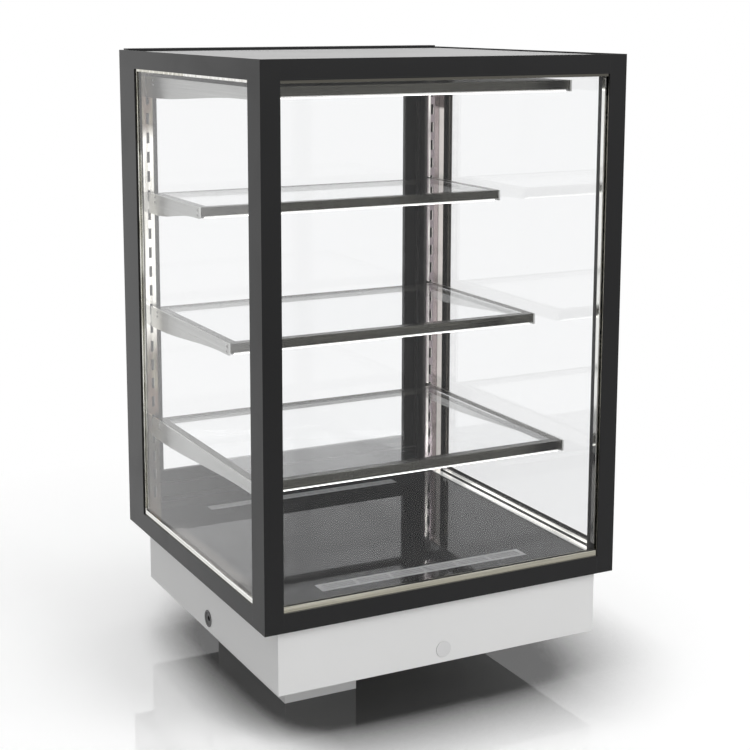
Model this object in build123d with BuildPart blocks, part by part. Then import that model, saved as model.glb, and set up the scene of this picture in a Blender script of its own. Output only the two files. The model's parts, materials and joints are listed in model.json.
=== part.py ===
from build123d import *
import os

# Drop-in heated display case for a shop counter. A black square-edged frame holds fixed glass at
# the front and sides, three cantilever shelves and a light canopy hook in slotted uprights, the
# deck has two air slots, a sheet-steel plinth drops through the counter, and a glazed door closes
# the rear. A small control box hangs under the plinth.
#
# The origin is the middle of the plan on the counter top. +X is to the right and +Y to the rear,
# seen from the front, and +Z is up. All sizes are in millimetres.

# Overall sizes of the frame above the counter
case_width = 600.0
case_depth = 585.0
case_height = 811.0

# Frame members
skin = 2.0
tube_wall = 2.0
front_post_width = 30.0
front_post_side = 43.5
rear_post_width = 16.0
rear_post_side = 73.0
rear_fin = 7.5
rear_body_inset = 5.0
top_face = 29.0
top_body_width = 20.0
top_body_height = 17.0
front_sill_face = 29.0
side_sill_face = 31.0
sill_body = 20.0
sill_width = 30.0
rear_rail_depth = 28.0
rear_sill_height = 39.5
rear_toe_height = 24.0

# Roof panel and ceiling liner
roof_sink = 2.5
roof_sheet = 2.5
liner_sheet = 1.5

# Glazing
glass = 6.0
channel_width = 10.0
channel_wall = 1.2
front_channel_height = 18.0
side_channel_height = 20.0
side_inner_lip = 15.0
head_channel_height = 11.0
edge_channel_depth = 11.0

# Deck and its air grilles
deck_thickness = 6.0
deck_gap = 0.3
air_slot_length = 358.0
front_slot_width = 29.0
front_slot_y = 78.5
rear_slot_width = 22.0
rear_slot_gap = 18.5
grille_sheet = 1.5
grille_plate = 2.0
grille_flange = 6.0
grille_opening_length = 52.0
grille_opening_width = 3.0
grille_web = 6.0
grille_bar = 3.0
grille_border = 4.5

# Polished trim over the side edges of the deck
trim_sheet = 1.2
left_trim_width = 33.0
right_trim_width = 15.0

# Slotted uprights
upright_sheet = 1.5
upright_width = 27.0
upright_depth = 24.0
upright_standoff = 3.0
slot_x = 32.5
slot_width = 5.0
slot_height = 18.0
slot_pitch = 32.0
slot_drop = 5.5

# Shelves: height of the lowest one, and how far each front edge stands behind the case's front
lowest_shelf_z = 193.0
shelf_fronts = {"lower_shelf": 99.0, "middle_shelf": 189.0, "upper_shelf": 301.5, "canopy": 99.0}
arm_thickness = 3.0
arm_root_margin = 0.5
arm_front_height = 17.5
arm_root_length = 30.0
arm_nose_length = 16.0
rail_width = 13.0
rail_height = 14.0
rail_wall = 1.5
ledge_reach = 7.0
ledge_thickness = 2.0
shelf_rear_gap = 13.0
lens_height = 3.5
lens_width = 10.0
lens_end_gap = 6.0
hook_height = 17.0
hook_neck = 9.5
hook_thickness = 3.0
hook_play = 0.3
toe_height = 4.0
toe_play = 1.0
canopy_drop = 12.0

# Plinth
plinth_drop = 100.0
plinth_side_inset = 26.0
plinth_front_inset = 13.0
plinth_rear_inset = 29.0
plinth_sheet = 1.5
plinth_flange = 14.0
seat_gap = 0.3
entry_radius = 11.25
entry_drop = 79.0
plug_flange = 12.6
plug_flange_thickness = 1.0
plug_depth = 5.0
plug_clearance = 0.05
mat_thickness = 7.0

# Flat heating element
element_width = 12.0
element_height = 5.0
element_z = -36.0
element_runs = 6
element_left = 165.0
element_right_inset = 75.0
element_front = 60.0
element_rear_gap = 40.0
terminal_x = 115.0
terminal_radius = 4.25
terminal_clearance = 3.0
bend_straight = 1.0
support_width = 15.0
support_sheet = 2.0
support_lip = 16.0
support_inset = 75.0

# Circulation fan in its baffle
baffle_inset = 185.0
baffle_sheet = 1.5
baffle_foot = 14.0
fan_z = -38.0
fan_size = 92.0
fan_length = 25.0
fan_bore = 43.5
fan_wall = 1.5
motor_radius = 17.0
motor_length = 12.0
shaft_radius = 1.5
shaft_clearance = 0.05
hub_length = 9.0
hub_margin = 0.3
fan_play = 0.3
blade_count = 7
blade_tip_gap = 1.5
blade_thickness = 1.6
blade_chord = 17.0
blade_camber = 2.0
blade_angle = 26.0
blade_root_depth = 3.0
strut_count = 4
strut_width = 5.0
fan_corner = 5.0

# Temperature probe
probe_radius = 3.0
probe_length = 60.0
probe_gap = 44.0
probe_z = -6.0
probe_clip = 12.0
probe_tip = 1.5

# Control box under the plinth
box_left = 97.0
box_width = 123.0
box_depth = 273.0
box_drop = 81.0
box_sheet = 1.5
lid_depth = 4.0
gland_x = 117.0
switch_row_z = -160.5
gland_bore = 4.5
gland_thread = 9.8
gland_thread_length = 12.0
gland_nut = 12.0
gland_nut_length = 6.0
gland_nose_length = 11.0
gland_nose_edge = 2.5
lock_nut_length = 4.0
driver_size = (40.0, 150.0, 28.0)
driver_corner = 3.0
driver_side_gap = 12.0
driver_front_gap = 30.0
driver_foot_length = 10.0
driver_foot_sheet = 2.0

# Temperature controller in the rear face of the control box
panel_x = 157.0
panel_z = -121.0
bezel_width = 78.0
bezel_height = 36.0
bezel_proud = 4.0
bezel_corner = 3.0
bezel_edge = 1.0
body_width = 70.4
body_height = 28.4
body_depth = 58.0
cutout_play = 0.3
display_width = 40.0
display_height = 20.0
display_offset = 9.0
display_depth = 1.5
key_width = 8.0
key_height = 6.0
key_pitch = 9.0
key_offset = -29.0
key_play = 0.3
key_proud = 1.0
key_body = 2.0
key_travel = 0.8
key_corner = 1.0
key_edge = 0.4

# Rocker switches
rocker_xs = {"mains_rocker": 148.0, "light_rocker": 180.0}
rocker_bezel_width = 15.0
rocker_bezel_height = 21.0
rocker_proud = 2.0
rocker_bezel_corner = 1.0
rocker_body_width = 12.9
rocker_body_height = 19.2
rocker_body_depth = 20.0
rocker_width = 9.6
rocker_height = 15.6
rocker_back = 3.0
rocker_crown = 4.5
rocker_face_radius = 26.0
rocker_taper = 0.6
rocker_tilt = 9.0
rocker_play = 0.4
rocker_swing_room = 1.0
rocker_well_depth = 12.0
rocker_pivot_depth = 2.0

# Rear door
door_thickness = 20.0
door_gap = 2.0
door_top = 813.3
door_side_gap = 0.5
door_bottom_gap = 2.0
stile_width = 35.0
lip_width = 21.0
lip_thickness = 8.0
glass_groove = 8.0
glass_end_play = 0.5
gasket_width = 6.0
gasket_gap = 0.3
gasket_inset = 1.0
handle_post_spacing = 170.0
handle_overhang = 18.0
handle_reach = 34.0
handle_radius = 6.0
handle_post_radius = 4.5
handle_edge = 1.0
handle_z = 420.0
handle_inset = 20.0

# Door hinges
hinge_zs = (110.0, 700.0)
hinge_length = 72.0
knuckle_count = 3
knuckle_radius = 4.0
knuckle_gap = 0.4
pin_radius = 2.0
pin_clearance = 0.05
leaf_thickness = 2.0
leaf_width = 30.0

# Reference lines that follow from the sizes above
left = -case_width / 2
right = case_width / 2
front = -case_depth / 2
rear = case_depth / 2
frame_rear = rear - door_thickness - door_gap
roof_seat = case_height - roof_sink - roof_sheet
head_bottom = roof_seat - top_body_height
top_edge = case_height - top_face
seal = (channel_width - 2 * channel_wall - glass) / 2
glass_edge = channel_wall + seal
glass_bottom = sill_body + glass_edge
glass_top = head_bottom - glass_edge
front_post_body = front + front_post_width
rear_post_front = rear - rear_post_side
rear_body_front = rear_post_front + rear_body_inset
channel_inner_x = left + skin + channel_width
channel_inner_y = front + skin + channel_width
rear_rail_front = frame_rear - rear_rail_depth
sill_cavity_bottom = plinth_sheet + tube_wall
deck_top = sill_body + deck_thickness
trim_top = deck_top + trim_sheet
plinth_left = left + plinth_side_inset
plinth_front = front + plinth_front_inset
plinth_rear = rear - plinth_rear_inset
plinth_bottom = -plinth_drop
plinth_mid_y = (plinth_front + plinth_rear) / 2
floor_top = plinth_bottom + plinth_sheet
mat_top = floor_top + mat_thickness
baffle_front = rear - baffle_inset

os.makedirs("parts", exist_ok=True)


def finish(builder, name):
    builder.part.label = name
    export_step(builder.part, f"parts/{name}.step")


def prism(plane, corners, length, mode=Mode.ADD):
    # A straight member of polygon section, drawn on a plane and run along its normal
    with BuildSketch(plane) as section:
        with BuildLine():
            Polyline(*corners, close=True)
        make_face()
    extrude(section.sketch, amount=length, mode=mode)


def slab(low, high, mode=Mode.ADD):
    # A rectangular sheet or bar between two opposite corners
    with BuildSketch(Plane.XY.offset(low[2])) as outline:
        with Locations(((low[0] + high[0]) / 2, (low[1] + high[1]) / 2)):
            Rectangle(high[0] - low[0], high[1] - low[1])
    extrude(outline.sketch, amount=high[2] - low[2], mode=mode)


def plinth_seat():
    # Rebate under the frame where the flange of the plinth lies flush with the counter top
    slab(
        (plinth_left - seat_gap, plinth_front - seat_gap, 0),
        (-plinth_left + seat_gap, plinth_rear + seat_gap, plinth_sheet),
        mode=Mode.SUBTRACT,
    )


def across(x):
    # Section plane that looks along +X: first axis to the rear, second axis up
    return Plane(origin=(x, 0, 0), x_dir=(0, 1, 0), z_dir=(1, 0, 0))


def along(y):
    # Section plane that looks along -Y: first axis to the right, second axis up
    return Plane(origin=(0, y, 0), x_dir=(1, 0, 0), z_dir=(0, -1, 0))


# Corner posts: a thin outer skin over a hollow body, the front ones rebated for the front glass
with BuildPart() as corner_posts:
    prism(
        Plane.XY,
        [
            (left, front),
            (left + front_post_width, front),
            (left + front_post_width, front + skin),
            (left + skin, front + skin),
            (left + skin, front + front_post_side),
            (left, front + front_post_side),
        ],
        case_height,
    )
    prism(
        Plane.XY,
        [
            (left + skin, front + skin),
            (left + front_post_width - edge_channel_depth, front + skin),
            (left + front_post_width - edge_channel_depth, channel_inner_y),
            (left + front_post_width, channel_inner_y),
            (left + front_post_width, front_post_body),
            (left + skin, front_post_body),
        ],
        roof_seat,
    )
    slab(
        (left + skin + tube_wall, channel_inner_y + tube_wall, 0),
        (left + front_post_width - tube_wall, front_post_body - tube_wall, roof_seat),
        mode=Mode.SUBTRACT,
    )
    prism(
        Plane.XY,
        [
            (left, rear_post_front),
            (left + skin, rear_post_front),
            (left + skin, frame_rear),
            (left + rear_fin, frame_rear),
            (left + rear_fin, rear),
            (left, rear),
        ],
        case_height,
    )
    slab((left + skin, rear_body_front, 0), (left + rear_post_width, frame_rear, roof_seat))
    slab(
        (left + skin + tube_wall, rear_body_front + tube_wall, 0),
        (left + rear_post_width - tube_wall, frame_rear - tube_wall, roof_seat),
        mode=Mode.SUBTRACT,
    )
    plinth_seat()
    mirror(about=Plane.YZ)
finish(corner_posts, "corner_posts")

# Top rails: front and sides, each a skin that hides the glass edge and a body that carries the roof
with BuildPart() as top_rails:
    prism(
        across(left + front_post_width),
        [
            (front, top_edge),
            (front + skin, top_edge),
            (front + skin, head_bottom),
            (front + top_body_width, head_bottom),
            (front + top_body_width, roof_seat),
            (front + skin, roof_seat),
            (front + skin, case_height),
            (front, case_height),
        ],
        case_width - 2 * front_post_width,
    )
    slab(
        (left, front + front_post_side, top_edge),
        (left + skin, rear_post_front, case_height),
    )
    slab(
        (left + skin, front_post_body, head_bottom),
        (left + top_body_width, rear_body_front, roof_seat),
    )
    slab(
        (left + front_post_width, front + skin + tube_wall, head_bottom + tube_wall),
        (-left - front_post_width, front + top_body_width - tube_wall, roof_seat - tube_wall),
        mode=Mode.SUBTRACT,
    )
    slab(
        (left + skin + tube_wall, front_post_body, head_bottom + tube_wall),
        (left + top_body_width - tube_wall, rear_body_front, roof_seat - tube_wall),
        mode=Mode.SUBTRACT,
    )
    mirror(about=Plane.YZ)
finish(top_rails, "top_rails")

# Bottom rails: front and sides. The flat body carries the deck and the glazing channels.
with BuildPart() as bottom_rails:
    prism(
        across(left + front_post_width),
        [
            (front, 0),
            (front + sill_width, 0),
            (front + sill_width, sill_body),
            (front + skin, sill_body),
            (front + skin, front_sill_face),
            (front, front_sill_face),
        ],
        case_width - 2 * front_post_width,
    )
    slab((left, front + front_post_side, 0), (left + skin, rear_post_front, side_sill_face))
    slab((left + skin, front_post_body, 0), (left + sill_width, rear_body_front, sill_body))
    slab(
        (left + front_post_width, front + skin + tube_wall, sill_cavity_bottom),
        (-left - front_post_width, front + sill_width - tube_wall, sill_body - tube_wall),
        mode=Mode.SUBTRACT,
    )
    slab(
        (left + skin + tube_wall, front_post_body, sill_cavity_bottom),
        (left + sill_width - tube_wall, rear_body_front, sill_body - tube_wall),
        mode=Mode.SUBTRACT,
    )
    plinth_seat()
    mirror(about=Plane.YZ)
finish(bottom_rails, "bottom_rails")

# Rear rails: the head under the roof, and the sill with its toe below the door
with BuildPart() as rear_rails:
    slab(
        (left + rear_post_width, rear_rail_front, top_edge),
        (right - rear_post_width, frame_rear, roof_seat),
    )
    slab(
        (left + rear_post_width, rear_rail_front, 0),
        (right - rear_post_width, frame_rear, rear_sill_height),
    )
    slab((left + rear_fin, frame_rear, 0), (right - rear_fin, rear, rear_toe_height))
    for cavity_front, cavity_rear, cavity_bottom, cavity_top in (
        (rear_rail_front, frame_rear, top_edge, roof_seat),
        (rear_rail_front, frame_rear, plinth_sheet, rear_sill_height),
        (frame_rear, rear, 0, rear_toe_height),
    ):
        slab(
            (left, cavity_front + tube_wall, cavity_bottom + tube_wall),
            (right, cavity_rear - tube_wall, cavity_top - tube_wall),
            mode=Mode.SUBTRACT,
        )
    plinth_seat()
finish(rear_rails, "rear_rails")

# Roof panel, sunk inside the top edge of the frame
with BuildPart() as roof_panel:
    slab(
        (left + skin + deck_gap, front + skin + deck_gap, roof_seat),
        (right - skin - deck_gap, frame_rear - deck_gap, roof_seat + roof_sheet),
    )
finish(roof_panel, "roof_panel")


def corner_notches(bottom, top):
    # Clearance cuts in a sheet where the four corner posts pass it
    for side in (-1, 1):
        post_edge = side * (right - front_post_width - deck_gap)
        slab(
            (min(post_edge, side * right), front, bottom),
            (max(post_edge, side * right), front_post_body + deck_gap, top),
            mode=Mode.SUBTRACT,
        )
        post_edge = side * (right - rear_post_width - deck_gap)
        slab(
            (min(post_edge, side * right), rear_body_front - deck_gap, bottom),
            (max(post_edge, side * right), frame_rear, top),
            mode=Mode.SUBTRACT,
        )


# Ceiling liner, a polished sheet under the bodies of the top rails
with BuildPart() as ceiling_liner:
    slab(
        (channel_inner_x + deck_gap, channel_inner_y + deck_gap, head_bottom - liner_sheet),
        (-channel_inner_x - deck_gap, rear_rail_front - deck_gap, head_bottom),
    )
    corner_notches(head_bottom - liner_sheet, head_bottom)
finish(ceiling_liner, "ceiling_liner")

# Front glass, its edges inside the channels
front_glass_left = left + front_post_width - edge_channel_depth + glass_edge
with BuildPart() as front_glass:
    slab(
        (front_glass_left, front + skin + glass_edge, glass_bottom),
        (-front_glass_left, front + skin + glass_edge + glass, glass_top),
    )
finish(front_glass, "front_glass")

# Side glasses
side_glass_front = front_post_body + glass_edge
side_glass_rear = rear_body_front - glass_edge
for side, name in ((-1, "left_glass"), (1, "right_glass")):
    inner_face = side * (right - skin - glass_edge - glass)
    outer_face = side * (right - skin - glass_edge)
    with BuildPart() as side_glass:
        slab(
            (min(inner_face, outer_face), side_glass_front, glass_bottom),
            (max(inner_face, outer_face), side_glass_rear, glass_top),
        )
    finish(side_glass, name)


def channel_corners(width, depth, wall):
    # Outline of a U that opens upwards, its back edge on the first axis
    return [
        (0, 0),
        (width, 0),
        (width, depth),
        (width - wall, depth),
        (width - wall, wall),
        (wall, wall),
        (wall, depth),
        (0, depth),
    ]


def seal_corners(depth):
    # Rubber lining inside the channel, round the edge of the glass
    return [
        (x + channel_wall, z + channel_wall)
        for x, z in channel_corners(channel_width - 2 * channel_wall, depth - channel_wall, seal)
    ]


# The planes that the glazing channels stand on. Each gives the channel's first corner, the way
# across it and the way it runs; the channel opens along the third direction.
front_span = case_width - 2 * front_post_width
side_span = rear_body_front - front_post_body
upright_span = head_bottom - sill_body
front_runs = (
    (Plane((left + front_post_width, front + skin, sill_body), (0, 1, 0), (1, 0, 0)),
     front_span, front_channel_height),
    (Plane((-left - front_post_width, front + skin, head_bottom), (0, 1, 0), (-1, 0, 0)),
     front_span, head_channel_height),
    (Plane((left + front_post_width - edge_channel_depth, front + skin, head_bottom),
           (0, 1, 0), (0, 0, -1)), upright_span, edge_channel_depth),
)
side_edge_span = upright_span - side_channel_height - head_channel_height
side_runs = (
    (Plane((left + skin, rear_body_front, sill_body), (1, 0, 0), (0, -1, 0)),
     side_span, side_channel_height),
    (Plane((left + skin, front_post_body, head_bottom), (1, 0, 0), (0, 1, 0)),
     side_span, head_channel_height),
    (Plane((left + skin, front_post_body, sill_body + side_channel_height),
           (1, 0, 0), (0, 0, 1)), side_edge_span, edge_channel_depth),
    (Plane((left + skin, rear_body_front, head_bottom - head_channel_height),
           (1, 0, 0), (0, 0, -1)), side_edge_span, edge_channel_depth),
)

# Polished channels that hold the front glass on all four edges
with BuildPart() as front_glass_channels:
    for plane, length, depth in front_runs:
        prism(plane, channel_corners(channel_width, depth, channel_wall), length)
    plane, length, depth = front_runs[2]
    prism(
        Plane((-plane.origin.X, front + skin, sill_body), (0, 1, 0), (0, 0, 1)),
        channel_corners(channel_width, depth, channel_wall),
        length,
    )
finish(front_glass_channels, "front_glass_channels")


def lower_inner_lip():
    # Along the bottom, the lip inside the case stands lower than the one outside it
    slab(
        (left + skin + glass_edge + glass, front_post_body, sill_body + side_inner_lip),
        (channel_inner_x, rear_body_front, sill_body + side_channel_height),
        mode=Mode.SUBTRACT,
    )


# Polished channels that hold the side glasses. Each has a flat trim over the deck's edge, the left
# one wider, and the trims run on past the rear posts to the rear sill.
trims = (
    (channel_inner_x, channel_inner_x + left_trim_width),
    (-channel_inner_x - right_trim_width, -channel_inner_x),
)
trim_limit = right - rear_post_width - deck_gap
with BuildPart() as side_glass_channels:
    for plane, length, depth in side_runs:
        prism(plane, channel_corners(channel_width, depth, channel_wall), length)
    lower_inner_lip()
    mirror(about=Plane.YZ)
    for trim_left, trim_right in trims:
        slab((trim_left, front_post_body, deck_top), (trim_right, rear_body_front, trim_top))
        slab(
            (max(trim_left, -trim_limit), rear_body_front, deck_top),
            (min(trim_right, trim_limit), rear_rail_front - deck_gap, trim_top),
        )
finish(side_glass_channels, "side_glass_channels")

# Rubber lining of the channels along the bottom and the top of each glass
with BuildPart() as glazing_seals:
    for plane, length, depth in front_runs[:2]:
        prism(plane, seal_corners(depth), length)
    for plane, length, depth in side_runs[:2]:
        prism(plane, seal_corners(depth), length)
    lower_inner_lip()
    mirror(about=Plane.YZ)
finish(glazing_seals, "glazing_seals")

# Slotted uprights: a web that faces the front, an inner flange back to the door, and a side wall
# along the rear post that laps round its front edge
shelf_steps = len(shelf_fronts) - 1
slots_between_shelves = int(
    (head_bottom - canopy_drop - lowest_shelf_z) / shelf_steps / slot_pitch
)
slots_below_shelf = int(
    (lowest_shelf_z - slot_drop - rear_sill_height - slot_height) / slot_pitch
)
first_slot_z = lowest_shelf_z - slot_drop - slots_below_shelf * slot_pitch
slot_count = slots_below_shelf + shelf_steps * slots_between_shelves + 1
upright_left = left + rear_post_width
upright_inner = upright_left + upright_width
upright_front = rear_rail_front - upright_standoff
upright_rear = upright_front + upright_depth
post_lap = [
    (upright_left, upright_front + upright_sheet),
    (upright_left, rear_body_front),
    (channel_inner_x, rear_body_front),
    (channel_inner_x, rear_body_front - upright_sheet),
    (upright_left + upright_sheet, rear_body_front - upright_sheet),
    (upright_left + upright_sheet, upright_front),
    (upright_inner, upright_front),
    (upright_inner, upright_front + upright_sheet),
]
with BuildPart() as left_upright:
    prism(Plane.XY.offset(trim_top), post_lap, top_edge - trim_top)
    slab(
        (upright_inner - upright_sheet, upright_front, rear_sill_height),
        (upright_inner, upright_rear, top_edge),
    )
    with BuildSketch(along(upright_front)):
        middle_slot_z = first_slot_z + (slot_count - 1) * slot_pitch / 2
        with Locations((left + slot_x, middle_slot_z)):
            with GridLocations(slot_pitch, slot_pitch, 1, slot_count):
                Rectangle(slot_width, slot_height)
    extrude(amount=-upright_sheet, mode=Mode.SUBTRACT)
finish(left_upright, "left_upright")

with BuildPart() as right_upright:
    add(left_upright.part.mirror(Plane.YZ))
finish(right_upright, "right_upright")

# Shelves and canopy. A pair of tapered arms hooks in the uprights and carries a frame of four
# bars round the plate, with a light strip under the front bar.
arm_outer = left + slot_x - arm_thickness / 2
arm_inner = arm_outer + arm_thickness
shelf_back = upright_front - shelf_rear_gap
tray_left = arm_inner
plate_left = tray_left + rail_width
toe_drop = slot_drop + slot_pitch - slot_height / 2 + toe_play
arm_root_height = toe_drop + toe_height + arm_root_margin


def shelf_arms(name, shelf_z, shelf_front):
    hook_top = shelf_z + slot_height / 2 - slot_drop - slot_height + hook_neck
    hook_back = upright_front + upright_sheet + hook_play
    with BuildPart() as arms:
        with BuildSketch(across(arm_outer)):
            with BuildLine():
                nose = (shelf_front + arm_nose_length, shelf_z - arm_front_height)
                root = (upright_front - arm_root_length, shelf_z - arm_root_height)
                Polyline(
                    root,
                    (upright_front, shelf_z - arm_root_height),
                    (upright_front, shelf_z),
                    (shelf_front, shelf_z),
                    (shelf_front, shelf_z - arm_front_height),
                    nose,
                )
                Spline(nose, root, tangents=((1, 0), (1, 0)))
            make_face()
            with BuildLine():
                Polyline(
                    (upright_front, hook_top - hook_neck),
                    (hook_back, hook_top - hook_neck),
                    (hook_back, hook_top - hook_height),
                    (hook_back + hook_thickness, hook_top - hook_height),
                    (hook_back + hook_thickness, hook_top),
                    (upright_front, hook_top),
                    close=True,
                )
            make_face()
            with BuildLine():
                Polyline(
                    (upright_front, shelf_z - toe_drop - toe_height),
                    (hook_back + hook_thickness, shelf_z - toe_drop - toe_height),
                    (hook_back + hook_thickness, shelf_z - toe_drop),
                    (upright_front, shelf_z - toe_drop),
                    close=True,
                )
            make_face()
        extrude(amount=arm_thickness)
        mirror(about=Plane.YZ)
    finish(arms, f"{name}_arms")


def shelf_frame(name, shelf_z, shelf_front):
    bar_bottom = shelf_z - rail_height
    ledge_top = shelf_z - glass
    with BuildPart() as frame:
        for bar_y, ledge_y in (
            (shelf_front, shelf_front + rail_width),
            (shelf_back - rail_width, shelf_back - rail_width - ledge_reach),
        ):
            slab((tray_left, bar_y, bar_bottom), (-tray_left, bar_y + rail_width, shelf_z))
            slab(
                (plate_left, ledge_y, ledge_top - ledge_thickness),
                (-plate_left, ledge_y + ledge_reach, ledge_top),
            )
        slab(
            (tray_left, shelf_front + rail_width, bar_bottom),
            (plate_left, shelf_back - rail_width, shelf_z),
        )
        slab(
            (-plate_left, shelf_front + rail_width, bar_bottom),
            (-tray_left, shelf_back - rail_width, shelf_z),
        )
        for bar_y in (shelf_front, shelf_back - rail_width):
            slab(
                (tray_left, bar_y + rail_wall, bar_bottom + rail_wall),
                (-tray_left, bar_y + rail_width - rail_wall, shelf_z - rail_wall),
                mode=Mode.SUBTRACT,
            )
        for bar_x in (tray_left, -plate_left):
            slab(
                (bar_x + rail_wall, shelf_front + rail_wall, bar_bottom + rail_wall),
                (bar_x + rail_width - rail_wall, shelf_back - rail_wall, shelf_z - rail_wall),
                mode=Mode.SUBTRACT,
            )
    finish(frame, f"{name}_frame")


def shelf_plate(name, shelf_z, shelf_front):
    with BuildPart() as plate:
        slab(
            (plate_left + deck_gap, shelf_front + rail_width + deck_gap, shelf_z - glass),
            (-plate_left - deck_gap, shelf_back - rail_width - deck_gap, shelf_z),
        )
    finish(plate, name)


def shelf_light(name, shelf_z, shelf_front):
    lens_y = shelf_front + (rail_width - lens_width) / 2
    lens_top = shelf_z - rail_height
    with BuildPart() as light:
        slab(
            (tray_left + lens_end_gap, lens_y, lens_top - lens_height),
            (-tray_left - lens_end_gap, lens_y + lens_width, lens_top),
        )
        lower_edges = light.edges().filter_by(Axis.X).group_by(Axis.Z)[0]
        fillet(lower_edges, lens_height / 2)
    finish(light, f"{name}_light")


for number, (name, front_inset) in enumerate(shelf_fronts.items()):
    height = lowest_shelf_z + number * slots_between_shelves * slot_pitch
    shelf_arms(name, height, front + front_inset)
    shelf_frame(name, height, front + front_inset)
    plate_name = f"{name}_panel" if name == "canopy" else f"{name}_glass"
    shelf_plate(plate_name, height, front + front_inset)
    shelf_light(name, height, front + front_inset)

# Deck of black glass with a long air slot at the front and one at the rear
air_slots = (
    (front + front_slot_y, front_slot_width),
    (rear_rail_front - rear_slot_gap - rear_slot_width / 2, rear_slot_width),
)
with BuildPart() as deck_glass:
    slab(
        (channel_inner_x + deck_gap, channel_inner_y + deck_gap, sill_body),
        (-channel_inner_x - deck_gap, rear_rail_front - deck_gap, deck_top),
    )
    corner_notches(sill_body, deck_top)
    with BuildSketch(Plane.XY.offset(sill_body)):
        for slot_y, slot_depth in air_slots:
            with Locations((0, slot_y)):
                Rectangle(air_slot_length, slot_depth)
    extrude(amount=deck_thickness, mode=Mode.SUBTRACT)
finish(deck_glass, "deck_glass")

# Air grilles: shallow trays that fill the slots, held by a flange under the deck
with BuildPart() as air_grilles:
    for slot_y, slot_depth in air_slots:
        grille_length = air_slot_length - 2 * deck_gap
        grille_width = slot_depth - 2 * deck_gap
        opening_pitch = (grille_opening_length + grille_web, grille_opening_width + grille_bar)
        columns = int((grille_length - 2 * grille_border + grille_web) / opening_pitch[0])
        rows = int((grille_width - 2 * grille_border + grille_bar) / opening_pitch[1])
        with BuildSketch(Plane.XY.offset(sill_body)) as flange_outline:
            with Locations((0, slot_y)):
                Rectangle(grille_length + 2 * grille_flange, grille_width + 2 * grille_flange)
        extrude(flange_outline.sketch, amount=-grille_sheet)
        with BuildSketch(Plane.XY.offset(sill_body)) as tray_outline:
            with Locations((0, slot_y)):
                Rectangle(grille_length, grille_width)
        extrude(tray_outline.sketch, amount=deck_thickness)
        with BuildSketch(Plane.XY.offset(sill_body - grille_sheet)) as hollow:
            with Locations((0, slot_y)):
                Rectangle(grille_length - 2 * grille_sheet, grille_width - 2 * grille_sheet)
        extrude(
            hollow.sketch,
            amount=grille_sheet + deck_thickness - grille_plate,
            mode=Mode.SUBTRACT,
        )
        with BuildSketch(Plane.XY.offset(deck_top)) as openings:
            with Locations((0, slot_y)):
                with GridLocations(opening_pitch[0], opening_pitch[1], columns, rows):
                    Rectangle(grille_opening_length, grille_opening_width)
        extrude(openings.sketch, amount=-grille_plate, mode=Mode.SUBTRACT)
finish(air_grilles, "air_grilles")

# Plinth: a folded tray that drops through the counter, with a cable entry in each wall
entry_places = {
    "left": Plane((plinth_left, plinth_mid_y, -entry_drop), (0, -1, 0), (-1, 0, 0)),
    "right": Plane((-plinth_left, plinth_mid_y, -entry_drop), (0, 1, 0), (1, 0, 0)),
    "front": Plane((0, plinth_front, -entry_drop), (1, 0, 0), (0, -1, 0)),
    "rear": Plane((0, plinth_rear, -entry_drop), (-1, 0, 0), (0, 1, 0)),
}
with BuildPart() as plinth:
    slab((plinth_left, plinth_front, plinth_bottom), (-plinth_left, plinth_rear, plinth_sheet))
    slab(
        (plinth_left + plinth_sheet, plinth_front + plinth_sheet, floor_top),
        (-plinth_left - plinth_sheet, plinth_rear - plinth_sheet, 0),
        mode=Mode.SUBTRACT,
    )
    slab(
        (plinth_left + plinth_flange, plinth_front + plinth_flange, 0),
        (-plinth_left - plinth_flange, plinth_rear - plinth_flange, plinth_sheet),
        mode=Mode.SUBTRACT,
    )
    for place in entry_places.values():
        with BuildSketch(place):
            Circle(entry_radius)
        extrude(amount=-plinth_sheet, mode=Mode.SUBTRACT)
finish(plinth, "plinth")

# Plugs in the entries that are not in use; the left one stays open
with BuildPart() as entry_plugs:
    for wall in ("front", "right", "rear"):
        place = entry_places[wall]
        with BuildSketch(place):
            Circle(plug_flange)
        extrude(amount=plug_flange_thickness)
        with BuildSketch(place):
            Circle(entry_radius - plug_clearance)
        extrude(amount=-plug_depth)
finish(entry_plugs, "entry_plugs")

# Insulation mat on the floor of the plinth, with holes where the element's ends pass
first_run_y = front + element_front
element_pitch = (baffle_front - element_rear_gap - first_run_y) / (element_runs - 1)
last_run_y = first_run_y + (element_runs - 1) * element_pitch
element_ends = [(left + terminal_x, y) for y in (first_run_y, last_run_y)]
with BuildPart() as insulation_mat:
    slab(
        (plinth_left + plinth_sheet + deck_gap, plinth_front + plinth_sheet + deck_gap, floor_top),
        (-plinth_left - plinth_sheet - deck_gap, plinth_rear - plinth_sheet - deck_gap, mat_top),
    )
    with BuildSketch(Plane.XY.offset(floor_top)):
        with Locations(*element_ends):
            Circle(terminal_radius + terminal_clearance)
    extrude(amount=mat_thickness, mode=Mode.SUBTRACT)
finish(insulation_mat, "insulation_mat")

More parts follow.
